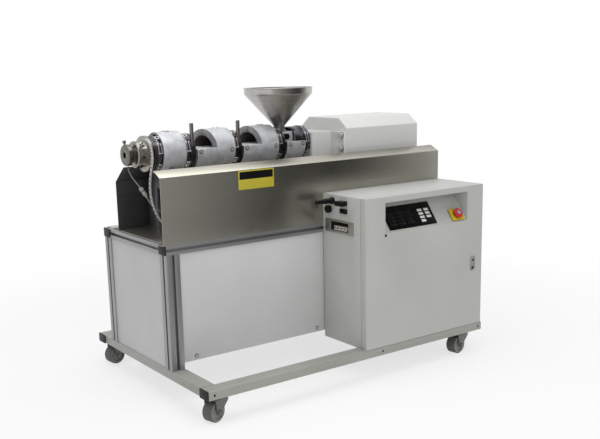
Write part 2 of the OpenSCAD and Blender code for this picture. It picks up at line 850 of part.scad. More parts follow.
// Hood over the right part of a cradle, its open face slanted towards the front.
module arch(l) {
    over = 2 * shroud_r * tan(arch_slant);
    difference() {
        translate([-over, 0, 0]) along_x(l + over) difference() {
            circle(r = shroud_r);
            circle(r = tunnel_r);
            below_split(split_h);
        }
        translate([0, -shroud_r, 0]) rotate([0, 0, arch_slant]) translate([-2 * over, -over, 0])
            cube([2 * over, 2 * shroud_r + 2 * over, 2 * shroud_r]);
    }
    translate([l - tunnel_back, 0, 0]) along_x(tunnel_back) difference() {
        circle(r = tunnel_r + eps);
        below_split(split_h);
    }
}

module vented_shroud(x) color("#c6c4c6") at_axis(x) {
    cradle(cradle_l);
    translate([cradle_l - arch_l, 0, 0]) arch(arch_l);
}

module shroud_2() vented_shroud(shroud2_x);

module shroud_3() vented_shroud(shroud3_x);

module feed_cradle() color("#c6c4c6") at_axis(feed_x) difference() {
    cradle(feed_l);
    translate([block_x - feed_x - fit_gap, -block_w / 2 - fit_gap, 0])
        cube([block_l + 2 * fit_gap, block_w + 2 * fit_gap, shroud_r]);
}

module feed_hood() color("#242326") at_axis(feed_end - hood_l) along_x(hood_l) difference() {
    circle(r = hood_r);
    circle(r = hood_r - hood_wall);
    below_split(split_h);
}

// Toggle clips that close the bands, seen from the front and above.
module band_clips() color("#d4d3d1") for (c = clip_places) at_axis(c[0]) rotate([clip_turn, 0, 0]) {
    translate([-clip_w / 2, -c[1] - clip_out, -clip_h / 2]) difference() {
        cube([clip_w, clip_out + clip_wrap, clip_h]);
        translate([(clip_w - clip_slot_w) / 2, -eps, clip_h / 4]) cube([clip_slot_w, clip_wrap + eps, clip_h / 2]);
        translate([-eps, c[1] + clip_out, clip_h / 2]) rod_x(c[1] + seat_gap, clip_w + 2 * eps);
    }
    translate([-clip_w / 2 - clip_pin_over, -c[1] - clip_out, clip_h / 2 - clip_pin_r])
        rod_x(clip_pin_r, clip_w + 2 * clip_pin_over);
}

module lever_rod(i) color("#77726f") at_axis(rod_places[i]) difference() {
    translate([0, -rod_y, 0]) cylinder(d = rod_d, h = rod_h);
    translate([-rod_d, 0, 0]) rod_x(band_r + seat_gap, 2 * rod_d);
}

module lever_rod_1() lever_rod(0);

module lever_rod_2() lever_rod(1);

// Die

module die_head() color("#8d887c") {
    at_axis(die_x) rotate([0, 90, 0]) rotate_extrude() polygon([
        [die_bore / 2, 0], [die_r - die_edge, 0], [die_r, die_edge], [die_r, die_l - die_edge / 2],
        [die_r - die_edge / 2, die_l],
        [die_neck_r, die_l], [die_neck_r, adapter_x - die_x], [0, adapter_x - die_x],
        [0, die_bore_l], [die_bore / 2, die_bore_l],
    ]);
    at_axis(die_x + die_l / 2 + fit_gap) rotate([-die_bolt_lean, 0, 0]) {
        translate([0, 0, die_r - die_bolt_in]) cylinder(d = die_bolt_d, h = die_bolt_in + die_bolt_up + eps);
        translate([0, 0, die_r + die_bolt_up]) cylinder(d = die_bolt_head, h = die_bolt_head_h);
    }
}

module die_adapter() color("#7f7a6e") {
    at_axis(adapter_x) rotate([0, 90, 0]) rotate_extrude() polygon([
        [0, 0], [adapter_r - adapter_edge, 0], [adapter_r, adapter_edge], [adapter_r, adapter_l],
        [head_r - head_edge, adapter_l], [head_r, adapter_l + head_edge], [head_r, adapter_l + head_t],
        [0, adapter_l + head_t],
    ]);
    at_axis(adapter_x + die_gland_in) rotate([45, 0, 0]) cylinder(r = gland_r, h = adapter_r + die_gland_l);
}

// Hopper

module hopper() color("#7c7a74") at_axis(hopper_x) translate([0, 0, block_top]) rotate_extrude() {
    r0 = neck_r - hopper_t;
    z1 = neck_h + cone_h;
    polygon([
        [r0, 0], [neck_r, 0], [neck_r, neck_h], [rim_r, z1], [rim_r, z1 + rim_h],
        [rim_r - hopper_t, z1 + rim_h], [rim_r - hopper_t, z1 + hopper_t / 2], [r0, neck_h + hopper_t / 2],
    ]);
}

// Clamp knob with six lobes on the front of the feed block.
module clamp_knob() color("#151416") at_axis(hopper_x)
    translate([0, -block_w / 2, split_h + block_h / 2]) rotate([90, 0, 0]) {
        cylinder(r = knob_r / 2, h = knob_gap + eps);
        translate([0, 0, knob_gap]) linear_extrude(knob_t) {
            circle(knob_r - lobe_r / 2);
            for (a = [0 : 60 : 300]) rotate(a) translate([knob_r - lobe_r, 0]) circle(lobe_r);
        }
    }

// Drive

// Closed housing on the deck, rounded towards the barrel and butted to the gearbox plate.
module coupling() color("#cfd0ca") at_axis(coupling_x) translate([0, 0, -axis_h]) linear_extrude(axis_h + gear_up) {
    l = gear_x - coupling_x;
    intersection() {
        translate([0, -coupling_w / 2]) rounded(l + coupling_edge, coupling_w, coupling_edge);
        translate([0, -coupling_w / 2]) square([l, coupling_w]);
    }
}

module gearbox_plate() color("#d3d4ce") at_axis(gear_x) {
    along_x(gear_t) translate([-gear_w / 2, -axis_h]) square([gear_w, axis_h + gear_up]);
    for (y = [-1, 1], z = [0, bolt_pitch])
        translate([-bolt_h, y * (gear_w / 2 - bolt_in), gear_up - bolt_in - z]) rod_x(bolt_r, bolt_h + 1);
}

module motor_cover() color("#d9dad4") at_axis(cover_x) along_x(cover_l) polygon([
    [-cover_w / 2, -axis_h], [cover_w / 2, -axis_h], [cover_w / 2, cover_up - cover_ch_z],
    [cover_w / 2 - cover_ch_y, cover_up], [cover_ch_y - cover_w / 2, cover_up], [-cover_w / 2, cover_up - cover_ch_z],
]);

// Control cabinet

module cabinet() color("#b6b7b4") place([cab_x, cab_y, frame_z]) {
    d = enc_y - cab_y;
    difference() {
        cube([cab_w, d, cab_h]);
        translate([cab_wall, -eps, cab_wall]) cube([cab_w - 2 * cab_wall, d - cab_wall + eps, cab_h - 2 * cab_wall]);
        translate([-eps, conn_y - cab_y - conn_open_w / 2, conn_z - frame_z - conn_open_h / 2])
            cube([cab_wall + 2 * eps, conn_open_w, conn_open_h]);
    }
}

// A pressed pan: front sheet, turned edges and the cut-out for the console.
module door() color("#c5c6c3") place([cab_x, 0, frame_z]) difference() {
    cube([cab_w, door_t, cab_h]);
    translate([door_sheet, door_sheet, door_sheet]) cube([cab_w - 2 * door_sheet, door_t, cab_h - 2 * door_sheet]);
    translate([recess_in, -eps, recess_z0 - frame_z]) cube([recess_w, door_sheet + 2 * eps, recess_h]);
}

// Sloping tray behind the cut-out, open to the front.
module console() color("#a2a39f") place([recess_x, 0, 0]) difference() {
    t = console_t;
    translate([-t, 0, 0]) along_x(recess_w + 2 * t) polygon([
        [door_sheet, recess_z0 - t / sin(slope_ang)], [recess_d + t, recess_z1 - t * tan(slope_ang / 2)],
        [recess_d + t, recess_z1 + t], [door_sheet, recess_z1 + t],
    ]);
    along_x(recess_w) polygon([
        [door_sheet - eps, recess_z0 - eps / tan(slope_ang)], [recess_d, recess_z1], [door_sheet - eps, recess_z1],
    ]);
    translate([stop_x - recess_x, 0, 0]) on_slope(stop_up)
        cylinder(d = stop_stem + 2 * pin_gap, h = 2 * stop_stem, center = true);
}

// Moves to the slope, u above its lower edge, with Z along its normal.
module on_slope(u) translate([0, door_sheet + u * sin(slope_ang), recess_z0 + u * cos(slope_ang)])
    rotate([90 - slope_ang, 0, 0]) children();

module keypad() color("#1d1c1f") place([keypad_x, 0, 0]) on_slope(keypad_up) cube([keypad_w, keypad_h, keypad_t]);

module stop_plate() color("#d8c02e") place([stop_x, 0, 0]) on_slope(stop_up) difference() {
    translate([-stop_w / 2, -stop_h / 2, 0]) cube([stop_w, stop_h, stop_t]);
    translate([0, 0, -eps]) cylinder(d = stop_stem + 2 * pin_gap, h = stop_t + 2 * eps);
}

module stop_button() color("#c8372e") place([stop_x, 0, 0]) on_slope(stop_up) rotate_extrude() {
    z0 = stop_t + stop_travel + stop_gap;
    z1 = z0 + stop_head_h;
    r = stop_d / 2;
    polygon([
        [0, -stop_shank], [stop_stem / 2, -stop_shank], [stop_stem / 2, z0], [r - stop_edge / 2, z0],
        [r, z0 + stop_edge / 2], [r, z1 - stop_edge], [r - stop_edge, z1 - stop_edge / 3],
        [r - 3 * stop_edge, z1], [0, z1],
    ]);
}

module latch() color("#b9b9b6") place([latch_x, -latch_t, latch_z]) difference() {
    translate([-latch_w / 2, 0, -latch_h / 2]) cube([latch_w, latch_t, latch_h]);
    translate([-latch_w / 2 + latch_rim, -eps, -latch_h / 2 + latch_rim])
        cube([latch_w - 2 * latch_rim, latch_deep + eps, latch_h / 2]);
    translate([0, -eps, latch_h / 4]) rotate([-90, 0, 0]) cylinder(r = latch_key_r, h = latch_deep + eps);
}

// Left side: plate with an opening, two sockets, a round cap and two plugs.
module connector_plate() color("#a9a99f") place([cab_x - sheet_t, conn_y, conn_z]) along_x(sheet_t) difference() {
    translate([-conn_w / 2, -conn_h / 2]) square([conn_w, conn_h]);
    translate([-conn_open_w / 2, -conn_open_h / 2]) square([conn_open_w, conn_open_h]);
}

module side_connectors() color("#1a191c") {
    place([cab_x, conn_y + plug_off, conn_z + plug_up]) rotate([0, -90, 0]) rotate_extrude() polygon([
        [0, 0], [plug_d / 2, 0], [plug_d / 2, plug_collar], [plug_body_d / 2, plug_collar],
        [plug_body_d / 2, plug_l / 2], [plug_body_d / 2 - plug_step, plug_l / 2 + plug_step],
        [plug_body_d / 2 - plug_step, plug_l - plug_step], [plug_body_d / 2 - 2 * plug_step, plug_l], [0, plug_l],
    ]);
    place([cab_x - jack_l, conn_y - jack_off - jack_w / 2, conn_z + jack_up - jack_h / 2])
        cube([jack_l, jack_w, jack_h]);
    place([cab_x - round_cap_t, conn_y + round_cap_off, conn_z + socket_up]) rod_x(round_cap_r, round_cap_t);
    place([cab_x - socket_t, conn_y - jack_off - jack_w / 2, conn_z + socket_up - jack_h / 2])
        cube([socket_t, jack_w, jack_h]);
}

// Cords

module cable_braid() color("#d8d6d0") place() cord(braid_route, braid_d, 10);

module cable_lead() color("#9a9890") place() cord(lead_route, lead_d, 8);

base_rail_front();
base_rail_rear();
base_cross_left();
base_cross_right();
base_caps();
posts_front();
posts_rear();
top_frame();
rail_caps();
panel_left();
panel_right();
panel_front();
panel_rear();
deck();
trough_front();
trough_rear();
trough_end();
bulkhead();
barrel();
heater_bands();
shroud_1();
shroud_2();
shroud_3();
feed_cradle();
feed_hood();
band_clips();
lever_rod_1();
lever_rod_2();
die_head();
die_adapter();
hopper();
clamp_knob();
coupling();
gearbox_plate();
motor_cover();
cabinet();
door();
console();
keypad();
stop_plate();
stop_button();
latch();
connector_plate();
side_connectors();
castor_plates();
fork_fl();
fork_fr();
fork_rl();
fork_rr();
wheel_fl();
wheel_fr();
wheel_rl();
wheel_rr();
cable_braid();
cable_lead();
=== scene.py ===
"""Dressed model of a laboratory twin screw extruder on a castor cart, in metres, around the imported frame."""
import json
import logging
import math
from dataclasses import dataclass
from enum import Enum
from typing import Callable, Iterable, Sequence

import bmesh
import bpy
from mathutils import Matrix, Vector


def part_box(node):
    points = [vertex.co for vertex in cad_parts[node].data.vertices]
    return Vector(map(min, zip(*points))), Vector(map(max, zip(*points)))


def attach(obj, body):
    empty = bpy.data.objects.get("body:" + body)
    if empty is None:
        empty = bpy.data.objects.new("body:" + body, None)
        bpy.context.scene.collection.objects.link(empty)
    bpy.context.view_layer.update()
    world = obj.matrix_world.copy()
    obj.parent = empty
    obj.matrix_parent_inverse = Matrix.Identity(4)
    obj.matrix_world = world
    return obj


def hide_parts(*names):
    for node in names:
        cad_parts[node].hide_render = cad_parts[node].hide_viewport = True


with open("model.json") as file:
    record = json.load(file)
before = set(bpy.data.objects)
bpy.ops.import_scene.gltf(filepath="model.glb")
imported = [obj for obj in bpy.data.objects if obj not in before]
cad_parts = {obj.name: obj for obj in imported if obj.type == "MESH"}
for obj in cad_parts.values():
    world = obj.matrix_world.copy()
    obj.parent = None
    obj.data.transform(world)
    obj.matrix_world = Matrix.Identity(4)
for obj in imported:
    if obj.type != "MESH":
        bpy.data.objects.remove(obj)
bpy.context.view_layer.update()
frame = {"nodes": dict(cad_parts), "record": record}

MM = 0.001
SAME = 1e-6  # metres between points that count as one
FLAT_DEG = 0.5  # bend between triangles that count as one face
SHARP_DEG = 30.0  # bend of an edge that is rounded
FACETS = 2  # facets across a rounded edge
FREE = 0.1  # millimetres of air round a head or a neck
NOISE_BAND = (0.3, 0.7)  # where most values of a noise lie
RELIEF = 0.6  # strength of every bump
QUARTER = math.pi / 2
ALONG, UP = Vector((1, 0, 0)), Vector((0, 0, 1))
LEFT, FRONT = Vector((-1, 0, 0)), Vector((0, -1, 0))
ROOT = "cart"
DOOR = "door"
log = logging.getLogger("extruder")

Outline = Sequence[tuple[float, float]]
Solid = bmesh.types.BMesh
Face = bmesh.types.BMFace
Tree = bpy.types.NodeTree
Node = bpy.types.Node
Socket = bpy.types.NodeSocket


def linear(code: str) -> tuple[float, float, float, float]:
    """Turns an sRGB hex colour into linear light.

    Args:
        code: Colour such as "#a4a4a3".

    Returns:
        Red, green, blue and an alpha of one.
    """
    parts = [int(code[i:i + 2], 16) / 255 for i in (1, 3, 5)]
    lin = [c / 12.92 if c <= 0.04045 else ((c + 0.055) / 1.055) ** 2.4 for c in parts]
    return (lin[0], lin[1], lin[2], 1.0)


def add(tree: Tree, kind: str, inputs: dict | None = None, **settings: object) -> Node:
    """Adds one node with its settings and links.

    Args:
        tree: Node tree that gets the node.
        kind: Blender's name of the node type.
        inputs: Socket name or number to a value, or to an output socket that is linked.
        settings: Attributes of the node.

    Returns:
        The new node.
    """
    made = tree.nodes.new(kind)
    for key, value in settings.items():
        setattr(made, key, value)
    for key, value in (inputs or {}).items():
        if isinstance(value, Socket):
            tree.links.new(value, made.inputs[key])
        else:
            made.inputs[key].default_value = value
    return made


# Finishes


@dataclass(frozen=True)
class Finish:
    """A surface: its slot in the record, two tones, roughness and how far its pattern swings that."""

    name: str
    slot: str
    tone: str
    shade: str
    roughness: float
    metallic: float = 0.0
    specular: float = 0.5
    swing: tuple = (-0.05, 0.05)

    def material(self) -> bpy.types.Material:
        """Returns the finish's material, which is made once."""
        found = bpy.data.materials.get(self.name)
        if found:
            return found
        made = bpy.data.materials.new(self.name)
        made.use_nodes = True
        shader = made.node_tree.nodes["Principled BSDF"]
        shader.inputs["Metallic"].default_value = self.metallic
        shader.inputs["Specular IOR Level"].default_value = self.specular
        self.paint(made.node_tree, shader)
        return made

    def grain(self, tree: Tree, size: float, stretch: tuple = (1, 1, 1), detail: float = 3) -> Socket:
        """Adds noise of a real size on object coordinates.

        Args:
            tree: Node tree of the material.
            size: Size of a speck in millimetres.
            stretch: Scale along each axis, below one for long streaks.
            detail: Octaves of noise.

        Returns:
            The noise's factor socket.
        """
        place = add(tree, "ShaderNodeTexCoord").outputs["Object"]
        scaled = add(tree, "ShaderNodeMapping", {"Vector": place, "Scale": stretch})
        noise = {"Vector": scaled.outputs[0], "Scale": 1 / (size * MM), "Detail": detail}
        return add(tree, "ShaderNodeTexNoise", noise).outputs[0]

    def ranged(self, tree: Tree, value: Socket, lo: float = 0.0, hi: float = 1.0) -> Socket:
        """Spreads the middle of a noise over a range. Returns the socket."""
        low, high = NOISE_BAND
        span = {"Value": value, "From Min": low, "From Max": high, "To Min": lo, "To Max": hi}
        return add(tree, "ShaderNodeMapRange", span).outputs[0]

    def mean(self, tree: Tree, first: Socket, second: Socket) -> Socket:
        """Returns a socket with the mean of two patterns."""
        both = add(tree, "ShaderNodeMath", {0: first, 1: second}, operation="ADD").outputs[0]
        return add(tree, "ShaderNodeMath", {0: both, 1: 0.5}, operation="MULTIPLY").outputs[0]

    def tones(self, tree: Tree, factor: Socket) -> Socket:
        """Blends the shade into the tone by a factor. Returns the colour socket."""
        ends = {0: factor, 6: linear(self.shade), 7: linear(self.tone)}
        return add(tree, "ShaderNodeMix", ends, data_type="RGBA").outputs[2]

    def bump(self, tree: Tree, shader: Node, height: Socket, depth: float) -> None:
        """Gives the shader relief.

        Args:
            tree: Node tree of the material.
            shader: Principled shader that takes the normal.
            height: Socket with the height from zero to one.
            depth: Depth of the relief in millimetres.
        """
        relief = {"Height": height, "Distance": depth * MM, "Strength": RELIEF}
        tree.links.new(add(tree, "ShaderNodeBump", relief).outputs[0], shader.inputs["Normal"])

    def coat(self, tree: Tree, shader: Node, tint: Socket, gloss: Socket, height: Socket,
             depth: float) -> None:
        """Links patterns to colour, gloss and relief.

        Args:
            tree: Node tree of the material.
            shader: Principled shader that takes them.
            tint: Noise that blends the two tones.
            gloss: Noise that the roughness follows.
            height: Noise that the relief follows.
            depth: Depth of the relief in millimetres.
        """
        tree.links.new(self.tones(tree, self.ranged(tree, tint)), shader.inputs["Base Color"])
        low, high = (self.roughness + part for part in self.swing)
        tree.links.new(self.ranged(tree, gloss, low, high), shader.inputs["Roughness"])
        self.bump(tree, shader, height, depth)

    def paint(self, tree: Tree, shader: Node) -> None:
        """Links the finish's pattern to the shader."""
        raise NotImplementedError


@dataclass(frozen=True)
class PowderCoat(Finish):
    """Baked powder paint: a faint orange peel and slightly uneven cloudiness over large panels."""

    peel: float = 3.0
    peel_depth: float = 0.05
    cloud: float = 220.0

    def paint(self, tree: Tree, shader: Node) -> None:
        """Links cloudy colour, uneven gloss and orange peel."""
        peel = self.grain(tree, self.peel, detail=1)
        self.coat(tree, shader, self.grain(tree, self.cloud), peel, peel, self.peel_depth)


@dataclass(frozen=True)
class BrushedSheet(Finish):
    """Belt ground sheet: straight scratches, drawn 1.2 mm wide so that they show, and dull blotches."""

    swing: tuple = (0.1, -0.06)
    line: float = 1.2
    along: tuple = (0.012, 1, 1)
    blotch: float = 150.0
    smear: tuple = (1, 1, 1.6)
    scratch: float = 0.02

    def paint(self, tree: Tree, shader: Node) -> None:
        """Links scratches to colour, gloss and relief."""
        lines = self.grain(tree, self.line, self.along, 2)
        both = self.mean(tree, lines, self.grain(tree, self.blotch, self.smear, 4))
        self.coat(tree, shader, both, both, lines, self.scratch)


@dataclass(frozen=True)
class TurnedSteel(Finish):
    """Metal worked on a lathe or spun: rings round its own axis, drawn 1.5 mm wide so that they show."""

    swing: tuple = (0.08, -0.05)
    centre: tuple = (0.0, 0.0, 0.0)
    turn: tuple = (0.0, 0.0, 0.0)
    ring: float = 1.5
    groove: float = 0.015
    stain: float = 30.0

    def paint(self, tree: Tree, shader: Node) -> None:
        """Links rings and stains to colour, gloss and relief."""
        place = add(tree, "ShaderNodeTexCoord").outputs["Object"]
        moved = {"Vector": place, "Location": self.centre, "Rotation": self.turn}
        local = add(tree, "ShaderNodeMapping", moved, vector_type="TEXTURE").outputs[0]
        axes = add(tree, "ShaderNodeSeparateXYZ", {0: local}).outputs
        flat = add(tree, "ShaderNodeCombineXYZ", {0: axes[0], 1: axes[1]}).outputs[0]
        away = add(tree, "ShaderNodeVectorMath", {0: flat}, operation="LENGTH").outputs["Value"]
        section = add(tree, "ShaderNodeCombineXYZ", {0: away, 2: axes[2]}).outputs[0]
        noise = {"Vector": section, "Scale": 1 / (self.ring * MM), "Detail": 2}
        rings = add(tree, "ShaderNodeTexNoise", noise).outputs[0]
        both = self.mean(tree, rings, self.grain(tree, self.stain, detail=4))
        self.coat(tree, shader, both, both, rings, self.groove)


@dataclass(frozen=True)
class Speckled(Finish):
    """Cast, moulded or rubbed surface: fine grain in the relief and soft mottling in the colour."""

    swing: tuple = (-0.06, 0.06)
    speck: float = 1.4
    depth: float = 0.06
    mottle: float = 28.0

    def paint(self, tree: Tree, shader: Node) -> None:
        """Links mottled colour, grain and uneven gloss."""
        speck = self.grain(tree, self.speck, detail=2)
        self.coat(tree, shader, self.grain(tree, self.mottle, detail=5), speck, speck, self.depth)


@dataclass(frozen=True)
class Braid(Finish):
    """Woven glass sleeve: two sets of strands wound against each other, read from the cable's own UV map."""

    turns: float = 2.0
    picks: float = 34.0
    strand: float = 0.5

    def paint(self, tree: Tree, shader: Node) -> None:
        """Links the crossing strands to colour and relief."""
        place = add(tree, "ShaderNodeTexCoord").outputs["UV"]
        axes = add(tree, "ShaderNodeSeparateXYZ", {0: place}).outputs
        strands = []
        for picks in (self.picks, -self.picks):
            wound = add(tree, "ShaderNodeMath", {0: axes[0], 1: picks}, operation="MULTIPLY").outputs[0]
            angle = {0: axes[1], 1: self.turns, 2: wound}
            phase = add(tree, "ShaderNodeMath", angle, operation="MULTIPLY_ADD").outputs[0]
            turn = add(tree, "ShaderNodeMath", {0: phase, 1: 2 * math.pi}, operation="MULTIPLY").outputs[0]
            strands.append(add(tree, "ShaderNodeMath", {0: turn}, operation="SINE").outputs[0])
        weave = add(tree, "ShaderNodeMath", {0: strands[0], 1: strands[1]}, operation="MAXIMUM").outputs[0]
        level = {"Value": weave, "From Min": -1.0, "From Max": 1.0}
        height = add(tree, "ShaderNodeMapRange", level).outputs[0]
        tree.links.new(self.tones(tree, height), shader.inputs["Base Color"])
        shader.inputs["Roughness"].default_value = self.roughness
        self.bump(tree, shader, height, self.strand)


def drawn_bar(name: str, along: tuple) -> BrushedSheet:
    """Returns the anodised aluminium of a bar, with streaks along the axis that it was drawn on."""
    return BrushedSheet(name, "slotted_bar", "#a4a4a6", "#969698", 0.42, 0.75, along=along)


def spun_finish(centre: Vector) -> TurnedSteel:
    """Returns the spun steel of the hopper, ringed round its upright axis."""
    at = tuple(centre)
    return TurnedSteel("spun stainless hopper", "hopper_steel", "#c2c0bc", "#a9a7a3", 0.3, 0.95, centre=at)


def turned_finish(centre: Vector, name: str, tone: str, shade: str) -> TurnedSteel:
    """Returns heat tinted steel that was turned about the barrel's axis."""
    seat = {"centre": tuple(centre), "turn": (0, QUARTER, 0)}
    return TurnedSteel(name, "tool_steel", tone, shade, 0.24, 0.95, stain=22, **seat)


# Paint baked on steel: even, half matt colour, whose faint peel breaks up the highlights.
TUBE_PAINT = PowderCoat("baked grey paint on tube", "tube_paint", "#a6a5a0", "#9d9c96", 0.42)
PANEL_PAINT = PowderCoat("baked light grey paint on panels", "panel_paint", "#cccccc", "#c5c5c5", 0.5)
CABINET_PAINT = PowderCoat(
    "textured grey paint on cabinet", "cabinet_paint", "#c0c1bd", "#b9bab6", 0.52, peel=2.2)
# The cabinet's paint made a little darker for the console: painted shade of the recess that it sits in.
CONSOLE_SHADED_PAINT = PowderCoat("grey paint on console with painted shade", "cabinet_paint", "#bbbcb8", "#b4b5b1", 0.55)
DRIVE_PAINT = PowderCoat("off-white paint on drive", "drive_paint", "#d8d9d6", "#d1d2cf", 0.5)
FORK_LACQUER = PowderCoat("grey lacquer on forks", "fork_metal", "#6c706a", "#5b5f59", 0.38, metallic=0.4)
STOP_YELLOW = PowderCoat("yellow enamel", "stop_yellow", "#d9bd22", "#cfb01c", 0.35)
PLATE_YELLOW = PowderCoat("faded yellow enamel", "stop_yellow", "#c1b42f", "#b7aa29", 0.4)

# Drawn aluminium: satin grey, streaked along the bar, so each way that a bar lies has its own.
ANODISED = drawn_bar("drawn anodised bar", (1, 1, 0.012))
ANODISED_X = drawn_bar("drawn anodised rail", (0.012, 1, 1))
ANODISED_Y = drawn_bar("drawn anodised cross rail", (1, 0.012, 1))

# Ground steel: scratches pull its reflections long. The dark, dull copy on the trough's inner walls is painted
# shade and painted dark reflection.
STAINLESS = BrushedSheet(
    "ground stainless sheet", "stainless", "#b8b6ab", "#a6a499", 0.31, 0.97,
    along=(0.06, 1, 1), scratch=0.012)
# Painted shade and dark reflection for the inner faces of the trough's walls.
STAINLESS_SHADED = BrushedSheet(
    "ground stainless sheet, painted shade", "stainless", "#5b5a5f", "#454449", 0.38, 0.95)
BULKHEAD_STEEL = BrushedSheet(
    "ground steel behind the die", "stainless", "#8f8f95", "#7c7c82", 0.36, 0.95, along=(1, 1, 0.05))
LEVER_STEEL = BrushedSheet(
    "turned lever steel", "tool_steel", "#8a8382", "#6e6767", 0.36, 0.9, along=(1, 1, 0.05))

# Castings: pale and sandy where blasted. A smoother, greyer copy on their left faces and the dark brown in
# their tunnels are painted shade, and so is the near black in the die's bore and round screw heads.
CAST_ALLOY = Speckled(
    "bead blasted cast aluminium", "cast_alloy", "#d6d7da", "#b3b4b8", 0.48, 0.25, mottle=26)
# Painted shade: a smoother, darker copy of the casting's finish for faces that look left.
SHADED_ALLOY = Speckled(
    "cast aluminium, painted shade on left faces", "cast_alloy", "#949597", "#7d7e81", 0.4, 0.4, depth=0.02, mottle=18)
# Painted shade inside the tunnels of the castings.
TUNNEL_SHADE = Speckled("painted shade in casting tunnels", "cast_alloy", "#57534f", "#3c3936", 0.5, 0.5, mottle=14)
# Painted shade, near black: the inside of the die's bore and the rings round screw heads.
SHADE_BLACK = Speckled("near black painted shade", "tool_steel", "#12110f", "#0a0909", 0.6, specular=0.2)

# Blued and plated steel: dark or bright mirrors with a slight cloud, the zinc and the latch duller.
BAND_BLACK = Speckled(
    "blued steel heater band", "band_black", "#6d6c72", "#504f55", 0.3, 0.95, depth=0.03, mottle=16)
STRAP_STEEL = Speckled(
    "bright strap steel", "band_black", "#8a898e", "#747378", 0.24, 0.95, depth=0.02, mottle=9)
CHROME = Speckled("bright nickel plate", "chrome", "#d6d5d2", "#bdbcb9", 0.16, 1.0, depth=0.01)
ZINC = Speckled("zinc plated screw", "chrome", "#c8c7c4", "#b4b3b0", 0.34, 0.35, depth=0.02, mottle=6)
LATCH_GREY = Speckled("die cast latch", "chrome", "#a8a8a5", "#9a9a97", 0.42, 0.2, depth=0.03)

# Plastic and rubber: even colour with a faint moulded grain, matt on the tyres, glossier on the button.
BLACK_PLASTIC = Speckled(
    "moulded black polyamide", "black_plastic", "#0e0e0f", "#090909", 0.46, specular=0.25)
STOP_RED = Speckled("moulded red plastic", "stop_red", "#c9363a", "#bb2c30", 0.28, depth=0.02)
# Painted highlight: the pale blue grey disc on top of the red button.
STOP_HIGHLIGHT = Speckled("painted highlight on the button", "stop_red", "#9db0bf", "#8ea2b2", 0.3, depth=0.02)
TREAD = Speckled("grey thermoplastic rubber", "tread_grey", "#5e5f5a", "#50514c", 0.62, depth=0.12, mottle=12)
HUB = Speckled("moulded grey hub", "tread_grey", "#8d8e87", "#80817a", 0.45, depth=0.03)
PALE_NYLON = Speckled("natural nylon", "lead_grey", "#e2e0d9", "#d5d2ca", 0.45, depth=0.02, mottle=9)
PLUG_GREY = Speckled("grey plug shell", "lead_grey", "#a3a19b", "#8f8d87", 0.45, depth=0.02, mottle=7)

# Printed film: flat, nearly without grain, and black with little shine between the white keys.
FILM = {"slot": "keypad_film", "depth": 0.01}
KEYPAD_FILM = Speckled(
    "printed polyester film", tone="#101011", shade="#0b0b0c", roughness=0.4, specular=0.15,
    mottle=60, **FILM)
KEY_GREY = Speckled(
    "dark printed window", tone="#1c1d1f", shade="#161718", roughness=0.3, specular=0.2,
    mottle=60, **FILM)
KEY_WHITE = Speckled("white printed key", tone="#e6e6e4", shade="#dadad8", roughness=0.4, mottle=15, **FILM)

# Cords: pale strands over dark gaps, and soft grey insulation.
BRAID = Braid("woven glass sleeve", "braid", "#cfcecb", "#3b3a38", 0.7)
LEAD = Speckled("grey silicone insulation", "lead_grey", "#7c7a74", "#6d6b66", 0.5, depth=0.02, mottle=10)


# Shapes


def turned(outline: Outline, steps: int) -> Solid:
    """Spins an outline round the Z axis.

    Args:
        outline: Radius and height of each corner, in millimetres.
        steps: Facets of the full turn.

    Returns:
        A closed bmesh in metres.
    """
    bm = bmesh.new()
    ring = [bm.verts.new((r * MM, 0, h * MM)) for r, h in outline]
    edges = [bm.edges.new(pair) for pair in zip(ring, ring[1:])]
    turn = {"cent": (0, 0, 0), "axis": (0, 0, 1), "angle": 2 * math.pi, "steps": steps, "use_merge": True}
    bmesh.ops.spin(bm, geom=ring + edges, use_duplicate=False, **turn)
    bmesh.ops.remove_doubles(bm, verts=bm.verts, dist=SAME)
    bmesh.ops.recalc_face_normals(bm, faces=bm.faces)
    return bm


def bevel(bm: Solid, edges: Iterable, width: float, segments: int) -> None:
    """Rounds edges by a width in millimetres."""
    cut = {"offset": width * MM, "offset_type": "OFFSET", "segments": segments, "clamp_overlap": True}
    bmesh.ops.bevel(bm, geom=list(edges), affect="EDGES", profile=0.5, material=-1, **cut)


def cad_copy(node: str, edge: float, segments: int = FACETS) -> Solid:
    """Copies a CAD node, merges its triangles into faces and rounds its sharp edges.

    Args:
        node: Name of the CAD node.
        edge: Radius of the edges in millimetres.
        segments: Facets across an edge.

    Returns:
        A bmesh in the row frame.
    """
    bm = bmesh.new()
    bm.from_mesh(frame["nodes"][node].data)
    bmesh.ops.remove_doubles(bm, verts=bm.verts, dist=SAME)
    bmesh.ops.dissolve_limit(bm, angle_limit=math.radians(FLAT_DEG), verts=bm.verts, edges=bm.edges)
    limit = math.radians(SHARP_DEG)
    sharp = [e for e in bm.edges if len(e.link_faces) == 2 and e.calc_face_angle(0) > limit]
    bevel(bm, sharp, edge, segments)
    return bm


def facing(point: Vector, axis: Vector) -> Matrix:
    """Returns the matrix that puts Z along an axis at a point of the row frame."""
    return Matrix.Translation(point) @ Vector(axis).to_track_quat("Z", "Y").to_matrix().to_4x4()


def middle(node: str) -> Vector:
    """Returns the middle of a CAD node's box."""
    lo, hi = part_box(node)
    return (lo + hi) / 2


@dataclass(frozen=True)
class Brick:
    """A block with rounded edges: its lengths, the radius of its edges and its place, in millimetres."""

    size: tuple
    edge: float
    at: tuple = (0.0, 0.0, 0.0)

    def solid(self) -> Solid:
        """Returns the block in metres, centred on the origin."""
        bm = bmesh.new()
        bmesh.ops.create_cube(bm, size=MM)
        bmesh.ops.scale(bm, vec=self.size, verts=bm.verts)
        bevel(bm, bm.edges, self.edge, FACETS)
        return bm

    def shift(self) -> Matrix:
        """Returns the move from the origin to its place."""
        return Matrix.Translation(Vector(self.at) * MM)


class Head(Enum):
    """Shape of a screw's head, with the facets of its outline."""

    HEX = 6
    SOCKET = 24


